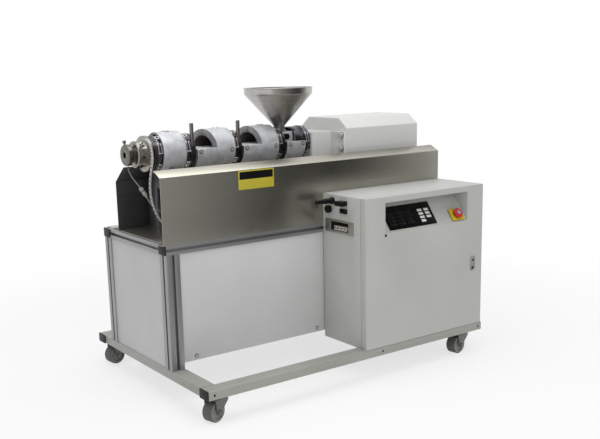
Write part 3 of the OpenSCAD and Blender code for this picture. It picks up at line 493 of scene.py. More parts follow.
@dataclass(frozen=True)
class Bolt:
    """A screw's head in millimetres, with the width past the head and the thickness of a dark ring round it,
    if any, which is painted shade of its counterbore.
    """

    radius: float
    height: float
    head: Head = Head.SOCKET
    shade_ring: tuple = ()

    def solid(self) -> Solid:
        """Returns the head, plain or with a socket, standing on Z zero."""
        radius, height, rim = self.radius, self.height, 0.18 * self.radius
        side = [(0, 0), (radius, 0), (radius, height - rim)]
        if self.head is Head.HEX:
            return turned([*side, (radius - rim, height), (0, height)], self.head.value)
        chamfer, well, dip = 0.3 * rim, 0.45 * radius, 0.4
        floor = height - 0.55 * height
        crown = [(radius - chamfer, height - chamfer), (radius - rim, height)]
        socket = [(well, height), (well, floor), (0, floor - dip)]
        return turned([*side, *crown, *socket], self.head.value)

    def ring(self) -> Solid:
        """Returns the dark ring round the head, which is painted shade of its counterbore."""
        wide, thick = self.shade_ring
        inner, outer = self.radius + FREE, self.radius + wide
        return turned([(inner, 0), (outer, 0), (outer, thick), (inner, thick), (inner, 0)], steps=32)


def off_axis(face: Face, point: Vector, axis: Vector) -> Vector:
    """Returns the shortest way from an axis to the middle of a face.

    Args:
        face: The face.
        point: A point on the axis.
        axis: Its direction, of length one.

    Returns:
        A vector square to the axis, in metres.
    """
    way = face.calc_center_median() - point
    return way - way.dot(axis) * axis


def in_bore(face: Face, heart: Vector, radius: float) -> bool:
    """Tells whether a face lines a bore that runs along X.

    Args:
        face: The face.
        heart: A point on the bore's axis.
        radius: Distance from the axis, in metres, past which nothing belongs to the bore.

    Returns:
        True where the face is near the axis and looks at it.
    """
    out = off_axis(face, heart, ALONG)
    return out.length < radius and face.normal.dot(out) < 0


def stand(name: str, data: bpy.types.ID) -> bpy.types.Object:
    """Makes an object of a mesh, curve, lamp or camera and puts it in the scene."""
    made = bpy.data.objects.new(name, data)
    bpy.context.scene.collection.objects.link(made)
    return made


def join(name: str, mesh: bpy.types.Mesh, finishes: Sequence[Finish], body: str,
         replaces: Sequence[str]) -> bpy.types.Object:
    """Makes a piece of a mesh, dresses it and lets it ride.

    Args:
        name: Name of the piece.
        mesh: Its mesh in the row frame.
        finishes: A finish for each number that its faces name.
        body: CAD body that carries it.
        replaces: CAD nodes that it stands for.

    Returns:
        The new object.
    """
    for finish in finishes:
        mesh.materials.append(finish.material())
    made = stand(name, mesh)
    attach(made, body)
    if replaces:
        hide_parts(*replaces)
    log.info("%s on %s, %d faces", name, body, len(mesh.polygons))
    return made


class Piece:
    """One new object: gathers solids, then joins the frame."""

    def __init__(self, name: str) -> None:
        """Starts an empty piece with its name."""
        self.name = name
        self.bm = bmesh.new()

    def take(self, part: Solid, matrix: Matrix = Matrix(), finish: int = 0) -> "Piece":
        """Adds a solid.

        Args:
            part: The solid, which is used up.
            matrix: Where it goes.
            finish: Number of the finish for its faces.

        Returns:
            The piece itself.
        """
        bmesh.ops.transform(part, matrix=matrix, verts=part.verts)
        for face in part.faces:
            face.material_index = finish
        carrier = bpy.data.meshes.new("carrier")
        part.to_mesh(carrier)
        part.free()
        self.bm.from_mesh(carrier)
        bpy.data.meshes.remove(carrier)
        return self

    def lay(self, brick: Brick, seat: Matrix = Matrix(), finish: int = 0) -> "Piece":
        """Adds a block at its place on a seat. Returns the piece itself."""
        return self.take(brick.solid(), seat @ brick.shift(), finish)

    def fasten(self, bolt: Bolt, seat: Matrix) -> "Piece":
        """Adds a screw's head, and the dark ring of painted shade round it in the second finish. Returns the
        piece itself.
        """
        self.take(bolt.solid(), seat)
        return self.take(bolt.ring(), seat, 1) if bolt.shade_ring else self

    def tell(self, pick: Callable[[Face], int]) -> "Piece":
        """Gives each face the finish whose number pick returns. Returns the piece itself."""
        for face in self.bm.faces:
            face.material_index = int(pick(face))
        return self

    def make(self, finishes: Finish | Sequence[Finish], body: str = ROOT, replaces: Sequence[str] = (),
             sharp: float = 38.0) -> bpy.types.Object:
        """Makes the object, dresses it and lets it ride.

        Args:
            finishes: The finish, or one for each number that the solids name.
            body: CAD body that carries the piece.
            replaces: CAD nodes that it stands for.
            sharp: Edges that turn by more degrees than this stay crisp.

        Returns:
            The new object.
        """
        several = [finishes] if isinstance(finishes, Finish) else list(finishes)
        for face in self.bm.faces:
            face.smooth = True
        for edge in self.bm.edges:
            edge.smooth = len(edge.link_faces) == 2 and edge.calc_face_angle(0) < math.radians(sharp)
        mesh = bpy.data.meshes.new(self.name)
        self.bm.to_mesh(mesh)
        self.bm.free()
        return join(self.name, mesh, several, body, replaces)


def dress(node: str, finish: Finish | Sequence[Finish], edge: float, body: str = ROOT, segments: int = FACETS,
          pick: Callable[[Face], int] | None = None, tail: str = "_skin") -> bpy.types.Object:
    """Stands a softened copy in for a CAD node.

    Args:
        node: CAD node.
        finish: Its finish, or several that pick tells apart.
        edge: Radius of its edges in millimetres.
        body: CAD body that carries it.
        segments: Facets across an edge.
        pick: Returns the number of a face's finish.
        tail: End of the piece's name.

    Returns:
        The new object.
    """
    piece = Piece(node + tail).take(cad_copy(node, edge, segments))
    if pick:
        piece.tell(pick)
    return piece.make(finish, body, [node])


# Sub-assemblies


@dataclass
class Studio:
    """Camera, floor and soft light: places in metres, angles in degrees."""

    lens_px: float = 878.9
    photo_w: float = 600.0
    sensor: float = 36.0
    place: tuple = (-1.7424, -2.479, 1.0129)
    yaw: float = 34.81
    pitch: float = 11.95
    roll: float = -1.48
    shift: tuple = (0.0293, 0.06)
    floor_r: float = 14.0
    floor_grey: float = 0.93
    floor_glow: float = 0.7
    floor_fade: tuple = (0.9, 2.2)
    card_size: tuple = (3.0, 1.7)
    card_place: tuple = (0.5, -0.75, 0.86)
    card_fade: tuple = (0.3, 1.1)
    card_glow: float = 0.42
    world_light: float = 0.5
    heart: tuple = (0.0, 0.0, 0.5)
    # Name, place, side and watts of each lamp.
    lamps: tuple = (("overhead", (-0.3, -0.3, 3.4), 3.2, 64), ("front_fill", (-0.6, -3.4, 1.9), 2.2, 18))

    def camera(self) -> None:
        """Puts the camera where the photograph was taken."""
        data = bpy.data.cameras.new("camera")
        data.sensor_width = self.sensor
        data.lens = self.lens_px / self.photo_w * self.sensor
        data.shift_x, data.shift_y = self.shift
        yaw, pitch, roll = (math.radians(a) for a in (self.yaw, self.pitch, self.roll))
        ahead = Vector((math.sin(yaw) * math.cos(pitch), math.cos(yaw) * math.cos(pitch), -math.sin(pitch)))
        right = Vector((math.cos(yaw), -math.sin(yaw), 0))
        up = right.cross(ahead)
        level = math.cos(roll) * right + math.sin(roll) * up
        upright = math.cos(roll) * up - math.sin(roll) * right
        seat = Matrix((level, upright, -ahead)).transposed().to_4x4()
        made = stand("camera", data)
        made.matrix_world = Matrix.Translation(self.place) @ seat
        bpy.context.scene.camera = made

    def seen(self, tree: Tree) -> Socket:
        """Returns a socket that is one for camera, glossy and transmission rays."""
        rays = add(tree, "ShaderNodeLightPath").outputs
        pair = {0: rays["Is Camera Ray"], 1: rays["Is Glossy Ray"]}
        first = add(tree, "ShaderNodeMath", pair, operation="MAXIMUM").outputs[0]
        both = {0: first, 1: rays["Is Transmission Ray"]}
        return add(tree, "ShaderNodeMath", both, operation="MAXIMUM").outputs[0]

    def world(self) -> None:
        """Makes a white surround that lights the object at a plain level."""
        made = bpy.data.worlds.new("studio")
        made.use_nodes = True
        tree = made.node_tree
        tree.nodes.clear()
        lamp = add(tree, "ShaderNodeBackground", {"Color": (1, 1, 1, 1), "Strength": self.world_light})
        white = add(tree, "ShaderNodeBackground", {"Color": (1, 1, 1, 1), "Strength": 1.0})
        ends = {0: self.seen(tree), 1: lamp.outputs[0], 2: white.outputs[0]}
        mixed = add(tree, "ShaderNodeMixShader", ends)
        add(tree, "ShaderNodeOutputWorld", {0: mixed.outputs[0]})
        bpy.context.scene.world = made
        bpy.context.scene.view_settings.view_transform = "Standard"

    def prop(self, name: str, bm: Solid, paint: bpy.types.Material) -> bpy.types.Object:
        """Stands a mesh in the studio that isn't part of the object.

        Args:
            name: Name of the prop.
            bm: Its mesh, which is used up.
            paint: Its material.

        Returns:
            The new object.
        """
        mesh = bpy.data.meshes.new(name)
        bm.to_mesh(mesh)
        bm.free()
        mesh.materials.append(paint)
        made = stand(name, mesh)
        return made

    def blank(self, name: str) -> bpy.types.Material:
        """Returns a new material without nodes."""
        paint = bpy.data.materials.new(name)
        paint.use_nodes = True
        paint.node_tree.nodes.clear()
        return paint

    def floor(self) -> None:
        """Makes a pale floor that keeps the shadow near the object and turns white further out."""
        paint = self.blank("pale floor")
        tree = paint.node_tree
        place = add(tree, "ShaderNodeTexCoord").outputs["Object"]
        away = add(tree, "ShaderNodeVectorMath", {0: place}, operation="LENGTH").outputs["Value"]
        near, far = self.floor_fade
        span = {"Value": away, "From Min": near, "From Max": far, "To Min": self.floor_glow}
        fade = add(tree, "ShaderNodeMapRange", span, interpolation_type="SMOOTHSTEP").outputs[0]
        share = add(tree, "ShaderNodeMath", {0: fade, 1: self.seen(tree)}, operation="MULTIPLY").outputs[0]
        matte = add(tree, "ShaderNodeBsdfDiffuse", {"Color": (*[self.floor_grey] * 3, 1)})
        white = add(tree, "ShaderNodeEmission", {"Color": (1, 1, 1, 1), "Strength": 1.0})
        mixed = add(tree, "ShaderNodeMixShader", {0: share, 1: matte.outputs[0], 2: white.outputs[0]})
        add(tree, "ShaderNodeOutputMaterial", {0: mixed.outputs[0]})
        bm = bmesh.new()
        bmesh.ops.create_circle(bm, cap_ends=True, segments=96, radius=self.floor_r)
        self.prop("floor", bm, paint)

    def card(self) -> None:
        """Stands a dark card at the front right that only metal mirrors, darkest in its middle."""
        paint = self.blank("dark card")
        tree = paint.node_tree
        place = add(tree, "ShaderNodeTexCoord").outputs["Object"]
        across = add(tree, "ShaderNodeSeparateXYZ", {0: place}).outputs[0]
        off = {0: across, 1: self.card_place[0]}
        side = add(tree, "ShaderNodeMath", off, operation="SUBTRACT").outputs[0]
        away = add(tree, "ShaderNodeMath", {0: side}, operation="ABSOLUTE").outputs[0]
        near, far = self.card_fade
        span = {"Value": away, "From Min": near, "From Max": far, "To Min": 0.0, "To Max": self.card_glow}
        glow = add(tree, "ShaderNodeMapRange", span).outputs[0]
        light = add(tree, "ShaderNodeEmission", {"Strength": glow})
        add(tree, "ShaderNodeOutputMaterial", {0: light.outputs[0]})
        bm = bmesh.new()
        bmesh.ops.create_grid(bm, x_segments=1, y_segments=1, size=0.5)
        bmesh.ops.scale(bm, vec=(*self.card_size, 1), verts=bm.verts)
        bmesh.ops.rotate(bm, cent=(0, 0, 0), matrix=Matrix.Rotation(QUARTER, 3, "X"), verts=bm.verts)
        bmesh.ops.translate(bm, vec=self.card_place, verts=bm.verts)
        made = self.prop("dark_card", bm, paint)
        made.visible_camera = made.visible_diffuse = made.visible_shadow = made.visible_transmission = False

    def softbox(self, name: str, place: Vector, side: float, watts: float) -> None:
        """Hangs a square soft lamp that lights the middle of the object.

        Args:
            name: Name of the lamp.
            place: Where it hangs.
            side: Length of its side.
            watts: Power.
        """
        data = bpy.data.lights.new(name, "AREA")
        data.size = side
        data.energy = watts
        stand(name, data).matrix_world = facing(place, place - Vector(self.heart))

    def build(self) -> None:
        """Sets up camera, surround, floor, card and lamps."""
        self.camera()
        self.world()
        self.floor()
        self.card()
        for name, place, side, watts in self.lamps:
            self.softbox(name, Vector(place), side, watts)


@dataclass
class Cables:
    """The braided heater cable and the thin sensor lead between the die and the bulkhead, in millimetres."""

    braid_d: float = 7.0
    lead_d: float = 4.0
    origin: tuple = (556.5, 383.5, 0.0)
    braid_route: tuple = (
        (25, 389, 800), (24, 382, 807), (24, 372, 812), (26, 361, 810), (30, 352, 800), (33, 346, 784),
        (34, 343, 763), (31, 341, 740), (25, 340, 715), (20, 339, 688), (18, 338, 661), (20, 338, 634),
        (26, 338, 608), (36, 338, 582), (50, 339, 560), (68, 340, 546), (86, 341, 541), (102, 342, 540),
    )
    lead_route: tuple = (
        (-12, 421, 730), (-12, 420, 718), (-8, 414, 702), (-2, 404, 686), (6, 392, 670), (13, 380, 653),
        (20, 370, 634), (28, 362, 616), (40, 356, 600), (56, 350, 588), (76, 344, 581), (92, 342, 580),
        (102, 342, 580),
    )
    steps: tuple = (0, 0.25, 0.5, 0.75)
    plug_at: int = 5
    plug_halves: tuple = (Brick((12, 8, 15), 1.6, (0, 0, 8.5)), Brick((13, 9, 13), 1.6, (0, 0, -7.5)))
    boot: tuple = ((0, 0), (4, 0), (3, 7), (0, 7))
    boot_at: float = 16.0

    def points(self, route: Sequence[tuple]) -> list[Vector]:
        """Returns a route in the row frame, in metres."""
        return [(Vector(p) - Vector(self.origin)) * MM for p in route]

    def line(self, points: list[Vector]) -> list[Vector]:
        """Returns a smooth line through the points of a route."""
        ends = [2 * points[0] - points[1], *points, 2 * points[-1] - points[-2]]
        smooth = []
        for a, b, c, d in zip(ends, ends[1:], ends[2:], ends[3:]):
            for t in self.steps:
                bend = (2 * a - 5 * b + 4 * c - d) * t * t + (3 * b - a - 3 * c + d) * t ** 3
                smooth.append(b + 0.5 * ((c - a) * t + bend))
        return [*smooth, points[-1]]

    def tube(self, name: str, node: str, path: list[Vector], diameter: float,
             finish: Finish) -> bpy.types.Object:
        """Sweeps a round tube along a path.

        Args:
            name: Name of the piece.
            node: CAD node that it stands for.
            path: Centre line in the row frame.
            diameter: Diameter in millimetres.
            finish: Its finish.

        Returns:
            The mesh tube.
        """
        data = bpy.data.curves.new(name, "CURVE")
        data.dimensions = "3D"
        data.bevel_depth = diameter * MM / 2
        data.bevel_resolution = 5
        data.use_fill_caps = True
        spline = data.splines.new("POLY")
        spline.points.add(len(path) - 1)
        for spot, place in zip(spline.points, path):
            spot.co = (*place, 1)
        guide = stand(name + "_guide", data)
        mesh = bpy.data.meshes.new_from_object(guide.evaluated_get(bpy.context.evaluated_depsgraph_get()))
        bpy.data.objects.remove(guide)
        mesh.name = name
        mesh.shade_smooth()
        self.wrap(mesh, len(path))
        mesh.materials.clear()
        return join(name, mesh, [finish], ROOT, [node])

    def wrap(self, mesh: bpy.types.Mesh, rings: int) -> None:
        """Gives a tube its own map: along the cord in U, round it in V.

        Args:
            mesh: The swept tube, whose points go ring by ring.
            rings: Number of rings.
        """
        steps = len(mesh.vertices) // rings
        layer = mesh.uv_layers.new(name="weave")
        for face in mesh.polygons:
            spots = [divmod(mesh.loops[i].vertex_index, steps) for i in face.loop_indices]
            seam = max(s for _, s in spots) - min(s for _, s in spots) > 1
            for i, (ring, step) in zip(face.loop_indices, spots):
                layer.data[i].uv = (ring / rings, (steps if seam and step == 0 else step) / steps)

    def plug(self) -> bpy.types.Object:
        """Makes the plug pair on the lead and returns it."""
        knots = self.points(self.lead_route)
        seat = facing(knots[self.plug_at], knots[self.plug_at + 1] - knots[self.plug_at - 1])
        pair = Piece("sensor_plug")
        for half in self.plug_halves:
            pair.lay(half, seat)
        pair.take(turned(self.boot, steps=20), seat @ Matrix.Translation((0, 0, self.boot_at * MM)))
        return pair.make(PLUG_GREY)

    def build(self) -> None:
        """Makes both cords and the plug pair on the lead."""
        path = self.line(self.points(self.braid_route))
        sleeve = self.tube("braided_cable", "cable_braid", path, self.braid_d, BRAID)
        path = self.line(self.points(self.lead_route))
        lead = self.tube("sensor_lead", "cable_lead", path, self.lead_d, LEAD)
        self.plug()


@dataclass
class BaseCart:
    """Welded base of rectangular tube, with black plugs in its ends and plates for the castors."""

    tubes: tuple = ("base_rail_front", "base_rail_rear", "base_cross_left", "base_cross_right")

    def build(self) -> None:
        """Softens the tubes, plugs and plates."""
        for node in self.tubes:
            dress(node, TUBE_PAINT, edge=0.8)
        dress("base_caps", BLACK_PLASTIC, edge=1.2)
        dress("castor_plates", FORK_LACQUER, edge=0.8)


@dataclass
class Castors:
    """Swivel castors in millimetres: pressed forks, rubber tyres on moulded hubs and nuts on the axles."""

    corners: tuple = ("fl", "fr", "rl", "rr")
    tyre_r: float = 22.0
    nut: Bolt = Bolt(7.5, 5.0, Head.HEX)
    nut_sunk: float = 2.0

    def axle(self, corner: str) -> Vector:
        """Returns the direction of a wheel's axle at rest."""
        joints = frame["record"]["behaviour"]["joints"]
        return Vector(next(j["axis"] for j in joints if j["name"] == "spin_" + corner)).normalized()

    def wheel(self, corner: str) -> None:
        """Makes one wheel with its tyre and hub told apart by their distance from the axle."""
        node = "wheel_" + corner
        centre, axle, limit = middle(node), self.axle(corner), self.tyre_r * MM
        dress(node, (TREAD, HUB), edge=0.8, body=node, tail="_tyre",
              pick=lambda face: off_axis(face, centre, axle).length < limit)

    def fork(self, corner: str) -> None:
        """Makes one fork and the nuts on its axle."""
        node = "fork_" + corner
        centre, axle = middle("wheel_" + corner), self.axle(corner)
        dress(node, FORK_LACQUER, edge=0.7, body=node)
        reach = max((v.co - centre).dot(axle) for v in frame["nodes"][node].data.vertices)
        nuts = Piece(node + "_nuts")
        for side in (1, -1):
            seat = centre + side * (reach - self.nut_sunk * MM) * axle
            nuts.fasten(self.nut, facing(seat, side * axle))
        nuts.make(FORK_LACQUER, node)

    def build(self) -> None:
        """Makes all four castors."""
        for corner in self.corners:
            self.fork(corner)
            self.wheel(corner)


@dataclass
class SlottedFrame:
    """Enclosure of slotted bars with grey panels and button head screws, in millimetres."""

    panels: tuple = ("panel_left", "panel_right", "panel_front", "panel_rear")
    screw: Bolt = Bolt(5.0, 2.6, shade_ring=(1.6, 0.8))
    screw_x: tuple = (-466.5, 8.5)
    screw_up: float = 14.0
    bar_w: float = 45.0

    def screws(self, node: str, side: int) -> None:
        """Puts the two low screws on the outer face of a long panel.

        Args:
            node: CAD node of the panel.
            side: One or minus one, for the way that the panel faces.
        """
        lo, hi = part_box(node)
        row = Piece(node + "_screws")
        for x in self.screw_x:
            spot = Vector((x * MM, hi.y if side > 0 else lo.y, lo.z + self.screw_up * MM))
            row.fasten(self.screw, facing(spot, Vector((0, side, 0))))
        # The second finish paints shade in the rings round the heads.
        row.make((ZINC, SHADE_BLACK))

    def rails(self) -> None:
        """Makes the top frame, its cross rails drawn along their own length."""
        lo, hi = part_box("top_frame")
        near, far = lo.y + self.bar_w * MM, hi.y - self.bar_w * MM
        dress("top_frame", (ANODISED_X, ANODISED_Y), edge=0.5,
              pick=lambda face: near < face.calc_center_median().y < far)

    def build(self) -> None:
        """Softens the bars and panels and adds the screws."""
        dress("posts_front", ANODISED, edge=0.5)
        dress("posts_rear", ANODISED, edge=0.5)
        self.rails()
        dress("rail_caps", BLACK_PLASTIC, edge=1.0)
        for node in self.panels:
            dress(node, PANEL_PAINT, edge=0.8)
        self.screws("panel_front", -1)
        self.screws("panel_rear", 1)


@dataclass
class Trough:
    """Folded stainless trough, bulkhead with cable glands and bare two-tone plate, in millimetres."""

    plate_at: tuple = (-225.5, 677.0)
    plate: Brick = Brick((134, 60, 1), 0.3, (0, 0, 0.5))
    black_field: Brick = Brick((126, 24, 0.4), 0.15, (0, 14, 1.05))
    outside: float = 0.2  # share of a normal past which a face looks outwards
    gland_y: float = -41.5
    gland_z: tuple = (540.0, 580.0)
    cord_r: tuple = (3.5, 2.0)
    cord_gap: float = 0.3
    nut_r: float = 8.6
    nut_h: float = 6.0
    nut_chamfer: tuple = (1.0, 1.5)
    nut_sunk: float = 1.5

    def marker(self) -> None:
        """Makes the bare plate on the front: yellow, with a black field in its upper half."""
        lo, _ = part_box("trough_front")
        x, z = self.plate_at
        seat = Matrix.Translation((x * MM, lo.y, z * MM)) @ Matrix.Rotation(QUARTER, 4, "X")
        piece = Piece("marker_plate").lay(self.plate, seat).lay(self.black_field, seat, 1)
        piece.make((PLATE_YELLOW, BLACK_PLASTIC))

    def shade_inside(self, node: str, way: Vector) -> None:
        """Makes a wall that is bright outside and dark on the side of the barrel, where the darkness is
        painted shade and painted dark reflection.

        Args:
            node: CAD node of the wall.
            way: Direction that its outside faces.
        """
        dress(node, (STAINLESS, STAINLESS_SHADED), edge=0.5,
              pick=lambda face: face.normal.dot(way) < self.outside)

    def glands(self) -> None:
        """Makes the nut of each cable gland, round its cord."""
        lo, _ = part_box("bulkhead")
        row = Piece("gland_nuts")
        r, h = self.nut_r, self.nut_h
        narrow, low = r - self.nut_chamfer[0], h - self.nut_chamfer[1]
        for z, cord in zip(self.gland_z, self.cord_r):
            bore = cord + self.cord_gap
            spot = Vector((lo.x + self.nut_sunk * MM, self.gland_y * MM, z * MM))
            ring = [(bore, 0), (r, 0), (r, low), (narrow, h), (bore, h), (bore, 0)]
            row.take(turned(ring, steps=12), facing(spot, ALONG))
        row.make(BLACK_PLASTIC)

    def build(self) -> None:
        """Softens the sheets and adds plate and glands."""
        dress("deck", STAINLESS, edge=0.4)
        dress("trough_front", STAINLESS, edge=0.6)
        self.shade_inside("trough_rear", Vector((0, 1, 0)))
        self.shade_inside("trough_end", ALONG)
        dress("bulkhead", BULKHEAD_STEEL, edge=0.6)
        self.marker()
        self.glands()


@dataclass
class BarrelLine:
    """Barrel with ribbed bands, castings, plated clips with straps, and lever rods, in millimetres."""

    castings: tuple = ("shroud_1", "shroud_2", "shroud_3", "feed_cradle")
    cradles: tuple = ("shroud_2", "shroud_3")
    cast_r: float = 66.0
    tunnel_r: float = 44.0
    tunnel_slack: float = 1.0
    # Faces that look further left than this get painted shade.
    shade_way: float = -0.7  # X of a normal below which a face looks left
    arch_l: float = 68.0
    slant_deg: float = 14.5
    seam_size: tuple = (0.6, 1.2)
    seam_in: float = 2.0
    seam_edge: float = 0.2
    feed_up: float = 8.0
    feed_half: float = 45.0
    strap_w: float = 9.0
    strap_t: float = 0.8
    strap_edge: tuple = (0.2, 0.3)
    screw_in: float = 12.0
    screw_up: float = -2.0
    screw: Bolt = Bolt(5.2, 2.8, shade_ring=(2.0, 1.0))
    screw_sunk: float = 0.6
    boss_r: float = 13.0
    boss_h: float = 2.6
    boss_sunk: float = 2.0
    boss_edge: tuple = (1.5, 1.4)
    boss_in: float = 34.0
    clips: tuple = (-480.5, -381.5, -201.5, -25.5, 89.0)
    band_r: float = 55.0
    eye_deg: float = 54.0
    eye_out: float = 7.0
    eye_r: float = 6.4
    eye_wire: float = 1.6
    wire_degs: tuple = (34.0, 2.0)
    wire_r: float = 1.7
    wire_out: float = 3.4
    wire_off: float = 5.0
    rod_r: float = 2.2
    rod_half: float = 8.5
    rod_edge: tuple = (0.6, 0.7)
    bar_degs: tuple = (-10.0, -27.0)
    bar: Brick = Brick((24, 5, 4), 1.2)
    bar_out: float = 1.5

    def axis(self, x: float) -> Vector:
        """Returns the point of the barrel's axis at a place along it, in metres."""
        heart = middle("shroud_1")
        return Vector((x, heart.y, heart.z))

    def straps(self) -> None:
        """Makes the bright strap that each clip closes."""
        half, inner = self.strap_w / 2, self.band_r + FREE
        outer = inner + self.strap_t
        shoulder, flat = outer - self.strap_edge[0], half - self.strap_edge[1]
        ring = [(inner, -half), (shoulder, -half), (outer, -flat), (outer, flat), (shoulder, half),
                (inner, half), (inner, -half)]
        row = Piece("band_straps")
        for x in self.clips:
            row.take(turned(ring, steps=96), facing(self.axis(x * MM), ALONG))
        row.make(STRAP_STEEL)

    def around(self, x: float, degrees: float, out: float) -> Matrix:
        """Returns the matrix that stands Z on the bands, square to the barrel's axis.

        Args:
            x: Place along the axis in millimetres of the row frame.
            degrees: Angle above the front of the machine.
            out: Height above the bands in millimetres.

        Returns:
            A 4 by 4 matrix with X along the axis.
        """
        turn = Matrix.Rotation(math.radians(90 - degrees), 4, "X")
        rise = Matrix.Translation((0, 0, (self.band_r + out) * MM))
        return Matrix.Translation(self.axis(x * MM)) @ turn @ rise

    def wire(self) -> Solid:
        """Bends a round wire about the barrel's axis, from the eye down to the cross rod.

        Returns:
            A bmesh in metres with the axis along X.
        """
        high, low = (math.radians(a) for a in self.wire_degs)
        bm = bmesh.new()
        bmesh.ops.create_circle(bm, cap_ends=True, segments=10, radius=self.wire_r * MM)
        bmesh.ops.rotate(bm, cent=(0, 0, 0), matrix=Matrix.Rotation(-high, 3, "X"), verts=bm.verts)
        lift = Vector((0, -math.cos(high), math.sin(high))) * (self.band_r + self.wire_out) * MM
        bmesh.ops.translate(bm, vec=lift, verts=bm.verts)
        bend = {"cent": (0, 0, 0), "axis": (1, 0, 0), "angle": high - low, "steps": 10}
        bmesh.ops.spin(bm, geom=bm.faces[:], use_duplicate=False, **bend)
        bmesh.ops.recalc_face_normals(bm, faces=bm.faces)
        return bm

    def toggles(self) -> None:
        """Makes the plated eye, the two wires and the cross rod of each clip, and the bars of the last."""
        row = Piece("clip_toggles")
        turns = (i * math.pi / 6 for i in range(13))
        eye = [(self.eye_r + self.eye_wire * math.cos(a), self.eye_wire * math.sin(a)) for a in turns]
        r, half = self.rod_r, self.rod_half
        end, flat = r - self.rod_edge[0], half - self.rod_edge[1]
        rod = [(0, -half), (end, -half), (r, -flat), (r, flat), (end, half), (0, half)]
        for x in self.clips:
            row.take(turned(eye, steps=32), self.around(x, self.eye_deg, self.eye_out))
            for off in (-self.wire_off, self.wire_off):
                row.take(self.wire(), Matrix.Translation(self.axis((x + off) * MM)))
            foot = self.around(x, self.wire_degs[1], self.wire_out)
            row.take(turned(rod, steps=16), foot @ Matrix.Rotation(QUARTER, 4, "Y"))
        for degrees in self.bar_degs:
            row.lay(self.bar, self.around(self.clips[-1], degrees, self.bar_out))
        row.make(CHROME)

    def seams(self) -> None:
        """Makes the dark parting line on the open face of each arch."""
        row = Piece("arch_seams")
        lean = math.radians(self.slant_deg)
        tall = self.cast_r - self.tunnel_r - self.seam_in
        for node in self.cradles:
            _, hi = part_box(node)
            x = hi.x - (self.arch_l + self.cast_r * math.tan(lean)) * MM
            seat = self.axis(x) + Vector((0, 0, (self.tunnel_r + self.cast_r) / 2 * MM))
            line = Brick((*self.seam_size, tall), self.seam_edge)
            row.lay(line, Matrix.Translation(seat) @ Matrix.Rotation(lean, 4, "Z"))
        row.make(BAND_BLACK)

    def feed_block(self) -> None:
        """Makes the barrel, with the cast feed block that stands on it told apart by its height."""
        heart, feed = self.axis(0), middle("hopper")
        steel = turned_finish(heart, "ground barrel steel", "#7d7a72", "#625f58")
        foot, half = heart.z + self.feed_up * MM, self.feed_half * MM

        def cast(face: Face) -> bool:
            """Tells a face of the feed block from one of the barrel."""
            spot = face.calc_center_median()
            return spot.z > foot and abs(spot.x - feed.x) < half

        dress("barrel", (steel, CAST_ALLOY), edge=0.6, pick=cast)

    def casting(self, node: str) -> None:
        """Makes one casting: blasted outside, with painted shade on its left faces and in its tunnel.

        Args:
            node: CAD node of the casting.
        """
        heart, bore = self.axis(0), (self.tunnel_r + self.tunnel_slack) * MM
        dress(node, (CAST_ALLOY, SHADED_ALLOY, TUNNEL_SHADE), edge=1.0,
              pick=lambda face: 2 if in_bore(face, heart, bore) else face.normal.x < self.shade_way)

    def cradle_screws(self) -> None:
        """Makes the socket screws at the ends of the cradles, front and rear."""
        row = Piece("cradle_screws")
        lean = math.asin(self.screw_up / self.cast_r)
        for node in (*self.cradles, "feed_cradle"):
            lo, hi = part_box(node)
            for x in (lo.x + self.screw_in * MM, hi.x - self.screw_in * MM):
                for side in (-1, 1):
                    out = Vector((0, side * math.cos(lean), math.sin(lean)))
                    spot = self.axis(x) + (self.cast_r - self.screw_sunk) * MM * out
                    row.fasten(self.screw, facing(spot, out))
        # The second finish paints shade in the rings round the heads.
        row.make((ZINC, SHADE_BLACK))

    def bosses(self) -> None:
        """Makes the low cast pads on top of the shrouds."""
        r, top, foot = self.boss_r, self.boss_h, -self.boss_sunk
        narrow, low = r - self.boss_edge[0], top - self.boss_edge[1]
        places = [middle("shroud_1").x, *(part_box(node)[1].x - self.boss_in * MM for node in self.cradles)]
        row = Piece("cast_pads")
        for x in places:
            pad = turned([(0, foot), (r, foot), (r, low), (narrow, top), (0, top)], steps=40)
            row.take(pad, facing(self.axis(x) + Vector((0, 0, self.cast_r * MM)), UP))
        row.make(CAST_ALLOY)

    def build(self) -> None:
        """Softens the castings and adds straps, screws and pads."""
        self.feed_block()
        dress("heater_bands", BAND_BLACK, edge=0.5)
        for node in self.castings:
            self.casting(node)
        dress("feed_hood", BAND_BLACK, edge=0.8)
        dress("band_clips", CHROME, edge=0.6)
        dress("lever_rod_1", LEVER_STEEL, edge=0.9)
        dress("lever_rod_2", LEVER_STEEL, edge=0.9)
        self.straps()
        self.toggles()
        self.seams()
        self.cradle_screws()
        self.bosses()


@dataclass
class Die:
    """Heat tinted die head and adapter with set screws round it, in millimetres."""

    adapter_r: float = 42.0
    bore_r: float = 14.0
    screw_x: float = -531.5
    screw_degs: tuple = (100.0, 145.0, 235.0, 315.0)
    screw: Bolt = Bolt(5.0, 2.4)
    screw_sunk: float = 1.2

    def build(self) -> None:
        """Softens the turned steel, paints near black shade in its bore and adds the set screws."""
        heart, bore = middle("shroud_1"), self.bore_r * MM
        steel = turned_finish(heart, "turned die steel", "#7a7872", "#5a5853")
        dress("die_head", (steel, SHADE_BLACK), edge=0.7, pick=lambda face: in_bore(face, heart, bore))
        dress("die_adapter", turned_finish(heart, "turned adapter steel", "#a8a59d", "#7f7c76"), edge=0.8)
        row = Piece("adapter_set_screws")
        for angle in (math.radians(a) for a in self.screw_degs):
            out = Vector((0, -math.sin(angle), math.cos(angle)))
            rise = (self.adapter_r - self.screw_sunk) * MM * out
            spot = Vector((self.screw_x * MM, heart.y, heart.z)) + rise
            row.fasten(self.screw, facing(spot, out))
        # The set screws are near black: painted shade of the holes that they sit in.
        row.make(BLACK_PLASTIC)


